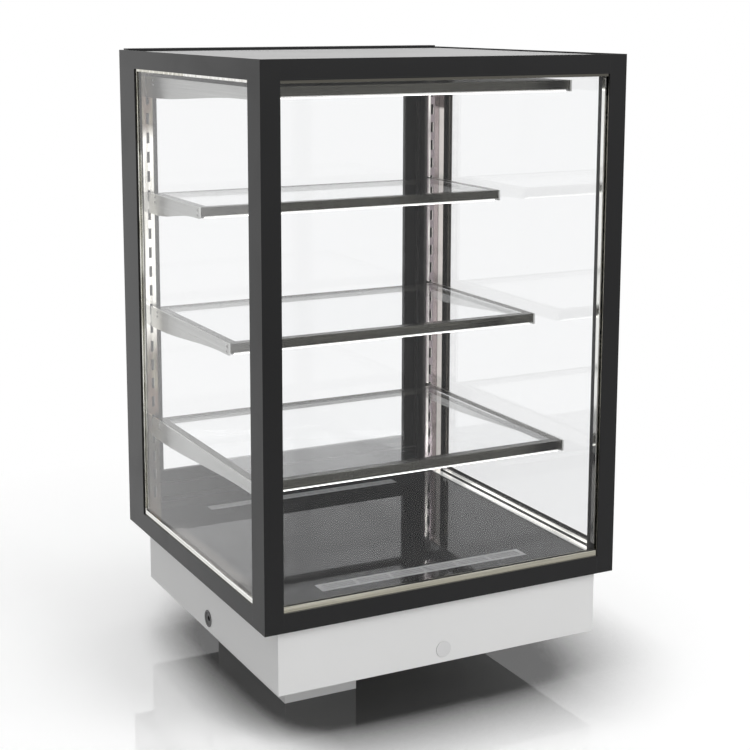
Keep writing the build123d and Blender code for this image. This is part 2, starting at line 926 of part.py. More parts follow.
# Heating element: one flattened tube bent to and fro, with a round terminal down to the floor at
# each end
element_path = [(*element_ends[0], element_z)]
for run in range(element_runs):
    run_y = first_run_y + run * element_pitch
    run_ends = [left + element_left, right - element_right_inset]
    if run % 2:
        run_ends.reverse()
    if run > 0:
        element_path.append((run_ends[0], run_y, element_z))
    if run < element_runs - 1:
        element_path.append((run_ends[1], run_y, element_z))
element_path.append((*element_ends[1], element_z))
with BuildPart() as heating_element:
    with BuildLine() as element_line:
        FilletPolyline(*element_path, radius=element_pitch / 2 - bend_straight)
    with BuildSketch(Plane(element_path[0], (0, 1, 0), (1, 0, 0))):
        Rectangle(element_width, element_height)
    sweep(path=element_line.line)
    with BuildSketch(Plane.XY.offset(floor_top)) as terminals:
        with Locations(*element_ends):
            Circle(terminal_radius)
    extrude(terminals.sketch, amount=element_z - floor_top)
    with BuildSketch(Plane.XY.offset(element_z - element_height / 2)) as terminal_heads:
        with Locations(*element_ends):
            Circle(element_width / 2)
    extrude(terminal_heads.sketch, amount=element_height)
finish(heating_element, "heating_element")

# Two straps under the element, from the front wall of the plinth to the fan baffle
strap_top = element_z - element_height / 2
strap_front = plinth_front + plinth_sheet
strap_rear = baffle_front
with BuildPart() as element_supports:
    for strap_x in (
        left + element_left + support_inset,
        right - element_right_inset - support_inset,
    ):
        prism(
            across(strap_x - support_width / 2),
            [
                (strap_front, strap_top - support_lip),
                (strap_front + support_sheet, strap_top - support_lip),
                (strap_front + support_sheet, strap_top - support_sheet),
                (strap_rear - support_sheet, strap_top - support_sheet),
                (strap_rear - support_sheet, strap_top - support_lip),
                (strap_rear, strap_top - support_lip),
                (strap_rear, strap_top),
                (strap_front, strap_top),
            ],
            support_width,
        )
finish(element_supports, "element_supports")

# Baffle that splits the plinth and carries the fan over a round opening
fan_front = baffle_front + baffle_sheet
with BuildPart() as fan_baffle:
    prism(
        across(plinth_left + plinth_sheet + deck_gap),
        [
            (baffle_front, mat_top),
            (fan_front + baffle_foot, mat_top),
            (fan_front + baffle_foot, mat_top + baffle_sheet),
            (fan_front, mat_top + baffle_sheet),
            (fan_front, -plinth_sheet),
            (baffle_front, -plinth_sheet),
        ],
        2 * (-plinth_left - plinth_sheet - deck_gap),
    )
    prism(
        across(left + sill_width + deck_gap),
        [
            (baffle_front, -plinth_sheet),
            (fan_front, -plinth_sheet),
            (fan_front, sill_body - deck_gap),
            (baffle_front, sill_body - deck_gap),
        ],
        case_width - 2 * (sill_width + deck_gap),
    )
    for side in (-1, 1):
        flange_end = side * (-plinth_left - plinth_flange - deck_gap)
        slab(
            (min(flange_end, side * right), baffle_front, -plinth_sheet),
            (max(flange_end, side * right), fan_front, sill_body),
            mode=Mode.SUBTRACT,
        )
    with BuildSketch(along(baffle_front)):
        with Locations((0, fan_z)):
            Circle(fan_bore)
    extrude(amount=-baffle_sheet, mode=Mode.SUBTRACT)
finish(fan_baffle, "fan_baffle")

# Fan housing: a square ring with four struts that carry the motor and its shaft
fan_rear = fan_front + fan_length
motor_front = fan_rear - motor_length
with BuildPart() as fan_housing:
    with BuildSketch(along(fan_rear)):
        with Locations((0, fan_z)):
            RectangleRounded(fan_size, fan_size, fan_corner)
            Circle(fan_bore, mode=Mode.SUBTRACT)
    extrude(amount=fan_length)
    with BuildSketch(along(fan_rear)):
        with Locations((0, fan_z)):
            Circle(motor_radius)
            with PolarLocations(0, strut_count, start_angle=45):
                with Locations((fan_bore / 2, 0)):
                    Rectangle(fan_bore + fan_wall, strut_width)
    extrude(amount=strut_width)
    with BuildSketch(along(fan_rear)):
        with Locations((0, fan_z)):
            Circle(motor_radius)
    extrude(amount=motor_length)
    with BuildSketch(along(motor_front)):
        with Locations((0, fan_z)):
            Circle(shaft_radius)
    extrude(amount=hub_length)
finish(fan_housing, "fan_housing")

# Fan impeller: a hub on the shaft and curved blades, their tips trimmed to one circle
hub_rear = motor_front - fan_play
hub_front = motor_front - hub_length
hub_middle = (hub_front + hub_rear) / 2
hub_radius = motor_radius + hub_margin
blade_start = hub_radius - blade_root_depth
blade_tip = fan_bore - blade_tip_gap
blade_sag = blade_camber + blade_thickness
with BuildPart() as fan_impeller:
    with BuildSketch(along(hub_rear)):
        with Locations((0, fan_z)):
            Circle(hub_radius)
            Circle(shaft_radius + shaft_clearance, mode=Mode.SUBTRACT)
    extrude(amount=hub_rear - hub_front)
    blade_plane = Plane((0, hub_middle, fan_z + blade_start), (1, 0, 0), (0, 0, 1))
    with BuildPart(mode=Mode.PRIVATE) as blade:
        with BuildSketch(blade_plane.rotated((0, 0, blade_angle))):
            with BuildLine():
                ThreePointArc((-blade_chord / 2, 0), (0, blade_camber), (blade_chord / 2, 0))
                Line((blade_chord / 2, 0), (blade_chord / 2, blade_thickness))
                ThreePointArc(
                    (blade_chord / 2, blade_thickness),
                    (0, blade_sag),
                    (-blade_chord / 2, blade_thickness),
                )
                Line((-blade_chord / 2, blade_thickness), (-blade_chord / 2, 0))
            make_face()
        extrude(amount=fan_bore - blade_start)
        with BuildSketch(along(hub_rear)):
            with Locations((0, fan_z)):
                Circle(blade_tip)
        extrude(amount=hub_rear - hub_front, mode=Mode.INTERSECT)
    fan_axis = Axis((0, hub_middle, fan_z), (0, 1, 0))
    for number in range(blade_count):
        add(blade.part.rotate(fan_axis, 360 * number / blade_count))
finish(fan_impeller, "fan_impeller")

# Temperature probe, held by a clip on the rear of the baffle
probe_y = fan_front + probe_clip / 2
probe_left = fan_size / 2 + probe_gap
probe_middle = probe_left + probe_length / 2
with BuildPart() as temperature_probe:
    with BuildSketch(across(probe_left)):
        with Locations((probe_y, probe_z)):
            Circle(probe_radius)
    extrude(amount=probe_length)
    slab(
        (probe_middle - probe_clip / 2, fan_front, probe_z - probe_clip / 2),
        (probe_middle + probe_clip / 2, fan_front + probe_clip, probe_z + probe_clip / 2),
    )
    tip = temperature_probe.edges().filter_by(GeomType.CIRCLE).sort_by(Axis.X)[-1]
    chamfer(tip, probe_tip)
finish(temperature_probe, "temperature_probe")

# Control box: folded sheet, open at the top against the plinth and at the right for its lid
box_x = left + box_left
box_y = plinth_mid_y - box_depth / 2
box_rear = box_y + box_depth
box_bottom = plinth_bottom - box_drop
shell_right = box_x + box_width - lid_depth
bezel_rear = box_rear + bezel_proud
with BuildPart() as control_box:
    slab((box_x, box_y, box_bottom), (shell_right, box_rear, plinth_bottom))
    slab(
        (box_x + box_sheet, box_y + box_sheet, box_bottom + box_sheet),
        (shell_right, box_rear - box_sheet, plinth_bottom),
        mode=Mode.SUBTRACT,
    )
    with BuildSketch(along(box_rear)):
        with Locations((left + panel_x, panel_z)):
            Rectangle(body_width + 2 * cutout_play, body_height + 2 * cutout_play)
        for rocker_x in rocker_xs.values():
            with Locations((left + rocker_x, switch_row_z)):
                Rectangle(rocker_body_width + 2 * cutout_play, rocker_body_height + 2 * cutout_play)
        with Locations((left + gland_x, switch_row_z)):
            Circle(gland_thread + cutout_play)
    extrude(amount=box_sheet, mode=Mode.SUBTRACT)
finish(control_box, "control_box")

# Lid of the control box, a shallow tray that closes its right side
with BuildPart() as control_box_lid:
    slab((shell_right, box_y, box_bottom), (box_x + box_width, box_rear, plinth_bottom))
    slab(
        (shell_right, box_y + box_sheet, box_bottom + box_sheet),
        (box_x + box_width - box_sheet, box_rear - box_sheet, plinth_bottom),
        mode=Mode.SUBTRACT,
    )
finish(control_box_lid, "control_box_lid")

# Cord gland: a hexagon nut with a nose outside the wall, and a lock nut inside
gland_rear = box_rear + gland_nut_length + gland_nose_length
with BuildPart() as cord_gland:
    with BuildSketch(along(gland_rear)) as nose:
        with Locations((left + gland_x, switch_row_z)):
            Circle(gland_thread)
    extrude(nose.sketch, amount=gland_rear - box_rear + gland_thread_length)
    chamfer(cord_gland.faces().sort_by(Axis.Y)[-1].edges(), gland_nose_edge)
    for nut_rear, nut_length in (
        (box_rear + gland_nut_length, gland_nut_length),
        (box_rear - box_sheet, lock_nut_length),
    ):
        with BuildSketch(along(nut_rear)) as nut:
            with Locations((left + gland_x, switch_row_z)):
                RegularPolygon(gland_nut, 6)
        extrude(nut.sketch, amount=nut_length)
    with BuildSketch(along(gland_rear)) as bore:
        with Locations((left + gland_x, switch_row_z)):
            Circle(gland_bore)
    extrude(
        bore.sketch,
        amount=gland_rear - box_rear + gland_thread_length,
        mode=Mode.SUBTRACT,
    )
finish(cord_gland, "cord_gland")

# Driver of the light strips, on the floor of the control box
with BuildPart() as light_driver:
    driver_x = box_x + box_sheet + driver_side_gap
    driver_y = box_y + driver_front_gap
    driver_z = box_bottom + box_sheet
    slab(
        (driver_x, driver_y, driver_z),
        (driver_x + driver_size[0], driver_y + driver_size[1], driver_z + driver_size[2]),
    )
    fillet(light_driver.edges().filter_by(Axis.Z), driver_corner)
    with BuildSketch(Plane.XY.offset(driver_z)):
        with Locations((driver_x + driver_size[0] / 2, driver_y + driver_size[1] / 2)):
            Rectangle(driver_size[0] / 2, driver_size[1] + 2 * driver_foot_length)
    extrude(amount=driver_foot_sheet)
finish(light_driver, "light_driver")

# Temperature controller: a bezel outside the wall, the body inside, a window and three key wells
key_zs = {"key_up": key_pitch, "key_set": 0.0, "key_down": -key_pitch}
with BuildPart() as controller:
    with BuildSketch(along(bezel_rear)):
        with Locations((left + panel_x, panel_z)):
            RectangleRounded(bezel_width, bezel_height, bezel_corner)
    extrude(amount=bezel_proud)
    chamfer(controller.faces().sort_by(Axis.Y)[-1].edges(), bezel_edge)
    with BuildSketch(along(box_rear)):
        with Locations((left + panel_x, panel_z)):
            Rectangle(body_width, body_height)
    extrude(amount=body_depth)
    with BuildSketch(along(bezel_rear)):
        with Locations((left + panel_x + display_offset, panel_z)):
            Rectangle(display_width, display_height)
    extrude(amount=display_depth, mode=Mode.SUBTRACT)
    with BuildSketch(along(bezel_rear)):
        for key_z in key_zs.values():
            with Locations((left + panel_x + key_offset, panel_z + key_z)):
                Rectangle(key_width + 2 * key_play, key_height + 2 * key_play)
    extrude(amount=key_body + key_travel + key_play, mode=Mode.SUBTRACT)
finish(controller, "controller")

with BuildPart() as controller_display:
    with BuildSketch(along(bezel_rear)):
        with Locations((left + panel_x + display_offset, panel_z)):
            Rectangle(display_width, display_height)
    extrude(amount=display_depth)
finish(controller_display, "controller_display")

for name, key_z in key_zs.items():
    with BuildPart() as key:
        with BuildSketch(along(bezel_rear + key_proud)):
            with Locations((left + panel_x + key_offset, panel_z + key_z)):
                RectangleRounded(key_width, key_height, key_corner)
        extrude(amount=key_proud + key_body)
        chamfer(key.faces().sort_by(Axis.Y)[-1].edges(), key_edge)
    finish(key, name)

# Rocker switches: a housing with a well, and a curved rocker that tilts about its middle
rocker_well_width = rocker_width + 2 * rocker_play
rocker_well_height = rocker_height + 2 * rocker_play + rocker_swing_room
with BuildPart() as rocker_housings:
    for rocker_x in rocker_xs.values():
        with BuildSketch(along(box_rear + rocker_proud)) as bezel:
            with Locations((left + rocker_x, switch_row_z)):
                RectangleRounded(rocker_bezel_width, rocker_bezel_height, rocker_bezel_corner)
        extrude(bezel.sketch, amount=rocker_proud)
        with BuildSketch(along(box_rear)) as housing:
            with Locations((left + rocker_x, switch_row_z)):
                Rectangle(rocker_body_width, rocker_body_height)
        extrude(housing.sketch, amount=rocker_body_depth)
        with BuildSketch(along(box_rear + rocker_proud)) as well:
            with Locations((left + rocker_x, switch_row_z)):
                Rectangle(rocker_well_width, rocker_well_height)
        extrude(well.sketch, amount=rocker_well_depth, mode=Mode.SUBTRACT)
finish(rocker_housings, "rocker_housings")

rocker_pivot_y = box_rear - rocker_pivot_depth
rocker_half = rocker_height / 2
for name, rocker_x in rocker_xs.items():
    rocker_plane = Plane(
        origin=(left + rocker_x - rocker_width / 2, rocker_pivot_y, switch_row_z),
        x_dir=(0, 1, 0),
        z_dir=(1, 0, 0),
    ).rotated((-rocker_tilt, 0, 0))
    with BuildPart() as rocker:
        with BuildSketch(rocker_plane):
            with BuildLine():
                Polyline(
                    (rocker_crown, rocker_half),
                    (-rocker_back, rocker_half * rocker_taper),
                    (-rocker_back, -rocker_half * rocker_taper),
                    (rocker_crown, -rocker_half),
                )
                RadiusArc(
                    (rocker_crown, -rocker_half), (rocker_crown, rocker_half), rocker_face_radius
                )
            make_face()
        extrude(amount=rocker_width)
    finish(rocker, name)

# Rear door frame: two stiles and two rails with a thinner lip round the glass
door_left = left + rear_fin + door_side_gap
door_front = rear - door_thickness
door_bottom = rear_toe_height + door_bottom_gap
groove_front = rear - lip_thickness - glass


def door_section(edge, inwards, plane, length):
    # Section of a stile or rail: outer edge at one side, groove for the glass and lip inwards
    prism(
        plane,
        [
            (door_front, edge),
            (rear, edge),
            (rear, edge + inwards * (stile_width + lip_width)),
            (rear - lip_thickness, edge + inwards * (stile_width + lip_width)),
            (rear - lip_thickness, edge + inwards * (stile_width - glass_groove)),
            (groove_front, edge + inwards * (stile_width - glass_groove)),
            (groove_front, edge + inwards * stile_width),
            (door_front, edge + inwards * stile_width),
        ],
        length,
    )


def upright_plane(z):
    # Section plane that looks along -Z: first axis to the rear, second axis to the right
    return Plane(origin=(0, 0, z), x_dir=(0, 1, 0), z_dir=(0, 0, -1))


rail_left = door_left + stile_width
with BuildPart() as door_frame:
    for edge, inwards in ((door_left, 1), (-door_left, -1)):
        door_section(edge, inwards, upright_plane(door_top), door_top - door_bottom)
    for edge, inwards in ((door_bottom, 1), (door_top, -1)):
        door_section(edge, inwards, across(rail_left), -2 * rail_left)
    cavity_left = door_left + tube_wall
    cavity_width = stile_width - glass_groove - 2 * tube_wall
    for x in (cavity_left, -cavity_left - cavity_width):
        slab(
            (x, door_front + tube_wall, door_bottom),
            (x + cavity_width, rear - tube_wall, door_top - tube_wall),
            mode=Mode.SUBTRACT,
        )
    for z in (door_bottom + tube_wall, door_top - tube_wall - cavity_width):
        slab(
            (cavity_left, door_front + tube_wall, z),
            (-cavity_left, rear - tube_wall, z + cavity_width),
            mode=Mode.SUBTRACT,
        )
finish(door_frame, "door_frame")

# Door glass, held in the grooves
door_glass_inset = stile_width - glass_groove + glass_end_play
with BuildPart() as door_glass:
    slab(
        (door_left + door_glass_inset, groove_front, door_bottom + door_glass_inset),
        (-door_left - door_glass_inset, groove_front + glass, door_top - door_glass_inset),
    )
finish(door_glass, "door_glass")

# Magnetic gasket on the inner face of the door, four strips
gasket_left = door_left + gasket_inset
gasket_bottom = door_bottom + gasket_inset
gasket_top = roof_seat - gasket_inset
gasket_front = frame_rear + gasket_gap
with BuildPart() as door_gasket:
    for low, high in (
        ((gasket_left, gasket_bottom), (gasket_left + gasket_width, gasket_top)),
        ((-gasket_left - gasket_width, gasket_bottom), (-gasket_left, gasket_top)),
        ((gasket_left + gasket_width, gasket_bottom),
         (-gasket_left - gasket_width, gasket_bottom + gasket_width)),
        ((gasket_left + gasket_width, gasket_top - gasket_width),
         (-gasket_left - gasket_width, gasket_top)),
    ):
        slab((low[0], gasket_front, low[1]), (high[0], door_front, high[1]))
finish(door_gasket, "door_gasket")

# Door handle: a round bar on two posts, on the free stile
handle_x = door_left + handle_inset
handle_y = rear + handle_reach
handle_half = handle_post_spacing / 2 + handle_overhang
with BuildPart() as door_handle:
    with BuildSketch(Plane.XY.offset(handle_z - handle_half)):
        with Locations((handle_x, handle_y)):
            Circle(handle_radius)
    extrude(amount=2 * handle_half)
    chamfer(door_handle.edges().filter_by(GeomType.CIRCLE), handle_edge)
    with BuildSketch(Plane((0, rear, handle_z), (1, 0, 0), (0, 1, 0))) as posts:
        with Locations((handle_x, 0)):
            with GridLocations(handle_post_spacing, handle_post_spacing, 1, 2):
                Circle(handle_post_radius)
    extrude(posts.sketch, amount=handle_reach)
finish(door_handle, "door_handle")

# Door hinges: narrow leaves on the rear edge of the frame, wide ones on the door, and the pins
hinge_x = -door_left + door_side_gap / 2
hinge_y = rear + knuckle_radius + knuckle_gap
knuckle_length = (hinge_length - (knuckle_count - 1) * knuckle_gap) / knuckle_count


def knuckle(z, bore):
    # One barrel of a hinge, with the web that joins it to its leaf's face
    with BuildSketch(Plane.XY.offset(z)) as ring:
        with Locations((hinge_x, hinge_y)):
            Circle(knuckle_radius)
            if bore > 0:
                Circle(bore, mode=Mode.SUBTRACT)
    extrude(ring.sketch, amount=knuckle_length)


leaf_clear = knuckle_radius + knuckle_gap
web_reach = pin_radius + pin_clearance
with BuildPart() as frame_hinges:
    for hinge_z in hinge_zs:
        slab(
            (hinge_x + leaf_clear, rear, hinge_z),
            (right, rear + leaf_thickness, hinge_z + hinge_length),
        )
        for number in (0, 2):
            z = hinge_z + number * (knuckle_length + knuckle_gap)
            knuckle(z, 0)
            slab(
                (hinge_x, rear, z),
                (hinge_x + leaf_clear, rear + leaf_thickness, z + knuckle_length),
            )
        with BuildSketch(Plane.XY.offset(hinge_z)) as pin:
            with Locations((hinge_x, hinge_y)):
                Circle(pin_radius)
        extrude(pin.sketch, amount=hinge_length)
finish(frame_hinges, "frame_hinges")

with BuildPart() as door_hinges:
    for hinge_z in hinge_zs:
        slab(
            (hinge_x - leaf_clear - leaf_width, rear, hinge_z),
            (hinge_x - leaf_clear, rear + leaf_thickness, hinge_z + hinge_length),
        )
        z = hinge_z + knuckle_length + knuckle_gap
        slab(
            (hinge_x - leaf_clear, rear, z),
            (hinge_x - web_reach, rear + leaf_thickness, z + knuckle_length),
        )
        knuckle(z, pin_radius + pin_clearance)
finish(door_hinges, "door_hinges")
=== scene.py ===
import json
import math
import bmesh
import bpy
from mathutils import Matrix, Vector, noise
from mathutils.bvhtree import BVHTree


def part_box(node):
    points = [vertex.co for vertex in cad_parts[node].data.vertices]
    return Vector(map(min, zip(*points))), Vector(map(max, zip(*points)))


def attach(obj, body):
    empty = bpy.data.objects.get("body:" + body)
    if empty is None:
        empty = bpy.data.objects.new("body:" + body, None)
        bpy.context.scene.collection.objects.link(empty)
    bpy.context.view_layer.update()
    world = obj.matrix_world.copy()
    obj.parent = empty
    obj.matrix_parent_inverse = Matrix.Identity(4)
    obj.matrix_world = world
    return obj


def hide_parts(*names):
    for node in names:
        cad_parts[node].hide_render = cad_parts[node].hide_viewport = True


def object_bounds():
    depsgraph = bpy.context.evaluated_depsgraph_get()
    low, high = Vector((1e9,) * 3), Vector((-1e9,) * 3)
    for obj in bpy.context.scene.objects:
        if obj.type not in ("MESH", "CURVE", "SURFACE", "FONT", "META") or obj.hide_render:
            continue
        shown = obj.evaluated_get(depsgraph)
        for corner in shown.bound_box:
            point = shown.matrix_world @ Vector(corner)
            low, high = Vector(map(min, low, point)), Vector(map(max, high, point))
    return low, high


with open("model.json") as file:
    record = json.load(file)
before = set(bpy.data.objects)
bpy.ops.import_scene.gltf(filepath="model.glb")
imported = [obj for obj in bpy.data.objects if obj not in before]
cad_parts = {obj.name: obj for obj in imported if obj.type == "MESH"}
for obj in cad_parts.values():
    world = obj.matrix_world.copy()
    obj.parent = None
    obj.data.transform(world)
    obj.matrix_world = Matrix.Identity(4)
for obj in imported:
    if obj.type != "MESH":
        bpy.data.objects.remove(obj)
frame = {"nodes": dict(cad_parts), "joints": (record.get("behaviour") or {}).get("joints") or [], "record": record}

# Looks of the drop-in heated display case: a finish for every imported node, and the small
# fixings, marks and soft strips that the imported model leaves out.
# Everything is in metres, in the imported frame: +X right, +Y to the rear, +Z up, counter top at 0.

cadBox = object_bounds()
caseBody = "case"
mm = 0.001
black = (0.0, 0.0, 0.0)
white = (1.0, 1.0, 1.0)

scene = bpy.context.scene
scene.view_settings.view_transform = "Standard"
print("frame loaded:", len(frame["nodes"]), "nodes")

# Camera, at the photograph's angle
cameraSet = {
    "place": (-1.1366, -2.2219, 0.8741),
    "azimuth": -26.6246,
    "elevation": 9.357,
    "lens": 75.117,
    "sensor": 36.0,
    "shift": (0.0369, -0.1412),
    "clipEnd": 60.0,
}


def addCamera(opts):
    data = bpy.data.cameras.new("viewCamera")
    data.lens = opts["lens"]
    data.sensor_width = opts["sensor"]
    data.shift_x, data.shift_y = opts["shift"]
    data.clip_end = opts["clipEnd"]
    cam = bpy.data.objects.new("viewCamera", data)
    cam.location = opts["place"]
    cam.rotation_euler = (math.radians(90 - opts["elevation"]), 0, math.radians(opts["azimuth"]))
    scene.collection.objects.link(cam)
    scene.camera = cam


addCamera(cameraSet)
print("camera placed")


# Node helpers

def feed(tree, socket, value):
    # A link from a socket, or else a plain value
    if isinstance(value, bpy.types.NodeSocket):
        tree.links.new(value, socket)
    elif socket.type == "RGBA" and len(value) == 3:
        socket.default_value = (*value, 1.0)
    else:
        socket.default_value = value


def feedAll(tree, node, values):
    for name, value in values.items():
        feed(tree, node.inputs[name], value)


def makeNode(tree, kind, values=None, **settings):
    node = tree.nodes.new(kind)
    for name, value in settings.items():
        setattr(node, name, value)
    feedAll(tree, node, values or {})
    return node


def calc(tree, operation, first, second=0.0):
    return makeNode(tree, "ShaderNodeMath", {0: first, 1: second}, operation=operation).outputs[0]


def times(tree, first, second):
    return calc(tree, "MULTIPLY", first, second)


def without(tree, value):
    return calc(tree, "SUBTRACT", 1.0, value)


def mixColour(tree, factor, first, second, blend="MIX"):
    values = {0: factor, 6: first, 7: second}
    return makeNode(tree, "ShaderNodeMix", values, data_type="RGBA", blend_type=blend).outputs[2]


def remap(tree, value, fromLow, fromHigh, toLow=0.0, toHigh=1.0):
    limits = {
        "Value": value, "From Min": fromLow, "From Max": fromHigh, "To Min": toLow, "To Max": toHigh,
    }
    return makeNode(tree, "ShaderNodeMapRange", limits).outputs["Result"]


def within(tree, value, span, soft):
    # 1 between two limits, with soft ends
    low, high = span
    rise = remap(tree, value, low - soft, low)
    fall = remap(tree, value, high, high + soft, 1.0, 0.0)
    return times(tree, rise, fall)


def split(tree, vector):
    return makeNode(tree, "ShaderNodeSeparateXYZ", {0: vector}).outputs


def objectPoint(tree):
    return makeNode(tree, "ShaderNodeTexCoord").outputs["Object"]


def surfaceNormal(tree):
    return makeNode(tree, "ShaderNodeNewGeometry").outputs["Normal"]


def cloud(tree, point, scale, detail=2.0, distortion=0.0):
    values = {"Vector": point, "Scale": scale, "Detail": detail, "Distortion": distortion}
    return makeNode(tree, "ShaderNodeTexNoise", values).outputs["Fac"]


def newGroup(name, inputs, outputs):
    # Inputs are given by their default values, outputs by their kinds
    group = bpy.data.node_groups.new(name, "ShaderNodeTree")
    for label, value in inputs.items():
        kind = "NodeSocketVector" if isinstance(value, tuple) else "NodeSocketFloat"
        socket = group.interface.new_socket(label, in_out="INPUT", socket_type=kind)
        socket.default_value = value
    for label, kind in outputs.items():
        group.interface.new_socket(label, in_out="OUTPUT", socket_type=f"NodeSocket{kind}")
    start = group.nodes.new("NodeGroupInput")
    end = group.nodes.new("NodeGroupOutput")
    return group, start.outputs, end.inputs


def placeGroup(tree, group, values):
    return makeNode(tree, "ShaderNodeGroup", values, node_tree=group).outputs


# Shared effects

def buildRoundedEdge():
    # Softened edges: a rounded normal, and a mask of the worn arris
    group, start, end = newGroup(
        "roundedEdge", {"Radius": 0.6 * mm, "Wear": 0.5}, {"Normal": "Vector", "Edge": "Float"}
    )
    bevel = makeNode(group, "ShaderNodeBevel", {"Radius": start["Radius"]}, samples=4)
    rounded = bevel.outputs["Normal"]
    normals = {0: rounded, 1: surfaceNormal(group)}
    turned = makeNode(group, "ShaderNodeVectorMath", normals, operation="DOT_PRODUCT")
    bend = remap(group, turned.outputs["Value"], 0.99, 0.75)
    patchy = remap(group, cloud(group, objectPoint(group), 60.0), 0.4, 0.65, 0.2, 1.0)
    feed(group, end["Normal"], rounded)
    feed(group, end["Edge"], times(group, times(group, bend, patchy), start["Wear"]))
    return group


def buildSprayedCoat():
    # Orange peel of a sprayed or powder coat, and a slow drift of its tone
    group, start, end = newGroup(
        "sprayedCoat", {"Grain": 900.0, "Drift": 3.0}, {"Height": "Float", "Tone": "Float"}
    )
    point = objectPoint(group)
    feed(group, end["Height"], cloud(group, point, start["Grain"], 1.5))
    feed(group, end["Tone"], remap(group, cloud(group, point, start["Drift"]), 0.3, 0.7))
    return group


def buildBrushedGrain():
    # Fine parallel lines of brushed metal, drawn out along one axis
    group, start, end = newGroup(
        "brushedGrain", {"Lines": (12.0, 2500.0, 2500.0)}, {"Height": "Float", "Streak": "Float"}
    )
    sides = {0: objectPoint(group), 1: start["Lines"]}
    point = makeNode(group, "ShaderNodeVectorMath", sides, operation="MULTIPLY").outputs[0]
    fine = cloud(group, point, 1.0, 3.0)
    broad = cloud(group, point, 0.16)
    both = calc(group, "ADD", times(group, fine, 0.6), times(group, broad, 0.4))
    feed(group, end["Height"], fine)
    feed(group, end["Streak"], remap(group, both, 0.32, 0.68))
    return group


def buildWipeMarks():
    # Soft smears left by a cloth
    group, start, end = newGroup("wipeMarks", {"Size": 6.0, "Cover": 0.5}, {"Mask": "Float"})
    smears = cloud(group, objectPoint(group), start["Size"], 4.0, 1.2)
    lowest = calc(group, "SUBTRACT", 0.75, times(group, start["Cover"], 0.4))
    feed(group, end["Mask"], remap(group, smears, lowest, 0.8))
    return group


def buildSettledDust():
    # Fine dust on faces that look up
    group, start, end = newGroup("settledDust", {"Amount": 0.3}, {"Mask": "Float"})
    level = remap(group, split(group, surfaceNormal(group))["Z"], 0.6, 1.0)
    spotted = remap(group, cloud(group, objectPoint(group), 240.0, 3.0), 0.4, 0.75)
    feed(group, end["Mask"], times(group, times(group, level, spotted), start["Amount"]))
    return group


def buildBeadRow():
    # A row of round spots along X, for the diodes behind a lens
    group, start, end = newGroup("beadRow", {"Pitch": 10 * mm, "Spot": 0.3}, {"Mask": "Float"})
    along = split(group, objectPoint(group))["X"]
    step = calc(group, "FRACT", calc(group, "DIVIDE", along, start["Pitch"]))
    away = calc(group, "ABSOLUTE", calc(group, "SUBTRACT", step, 0.5))
    full = times(group, start["Spot"], 0.4)
    feed(group, end["Mask"], remap(group, away, start["Spot"], full))
    return group


def buildPaintedReflectionBands():
    # Painted reflection: long soft patches along Z, as polished uprights show them
    group, start, end = newGroup("paintedReflectionBands", {"Length": 7.0, "Shift": 0.0}, {"Mask": "Float"})
    point = split(group, objectPoint(group))
    tall = calc(group, "ADD", times(group, point["Z"], start["Length"]), start["Shift"])
    sides = {"X": times(group, point["X"], 90.0), "Y": start["Shift"], "Z": tall}
    spot = makeNode(group, "ShaderNodeCombineXYZ", sides).outputs[0]
    feed(group, end["Mask"], remap(group, cloud(group, spot, 1.0, 1.5), 0.44, 0.54))
    return group


roundedEdge = buildRoundedEdge()
sprayedCoat = buildSprayedCoat()
brushedGrain = buildBrushedGrain()
wipeMarks = buildWipeMarks()
settledDust = buildSettledDust()
beadRow = buildBeadRow()
paintedReflectionBands = buildPaintedReflectionBands()
print("effect groups built")


# Materials

def emptyTree(owner, outputKind):
    # The cleared nodes of a material or a world, and where its surface goes in
    owner.use_nodes = True
    tree = owner.node_tree
    tree.nodes.clear()
    return tree, tree.nodes.new(outputKind).inputs["Surface"]


def newMaterial(name):
    mat = bpy.data.materials.new(name)
    tree, surface = emptyTree(mat, "ShaderNodeOutputMaterial")
    shader = tree.nodes.new("ShaderNodeBsdfPrincipled")
    tree.links.new(shader.outputs[0], surface)
    return mat, tree, shader


def mixShader(tree, factor, first, second):
    return makeNode(tree, "ShaderNodeMixShader", {0: factor, 1: first, 2: second}).outputs[0]


def bumpFrom(tree, shader, height, depth, normal=None):
    bump = makeNode(tree, "ShaderNodeBump", {"Height": height, "Distance": depth, "Strength": 1.0})
    if normal is not None:
        tree.links.new(normal, bump.inputs["Normal"])
    tree.links.new(bump.outputs[0], shader.inputs["Normal"])


def roughenFrom(tree, shader, mask, span, fromLow=0.0, fromHigh=1.0):
    feed(tree, shader.inputs["Roughness"], remap(tree, mask, fromLow, fromHigh, *span))


def smearOver(tree, shader, opts):
    # Colour and roughness of a smooth face, changed by the smears of a cloth
    smear = placeGroup(tree, wipeMarks, opts["smears"])["Mask"]
    colour = mixColour(tree, smear, opts["colour"], opts["smearColour"])
    feed(tree, shader.inputs["Base Color"], colour)
    roughenFrom(tree, shader, smear, opts["roughness"])


def grey(level):
    return (level, level, level)


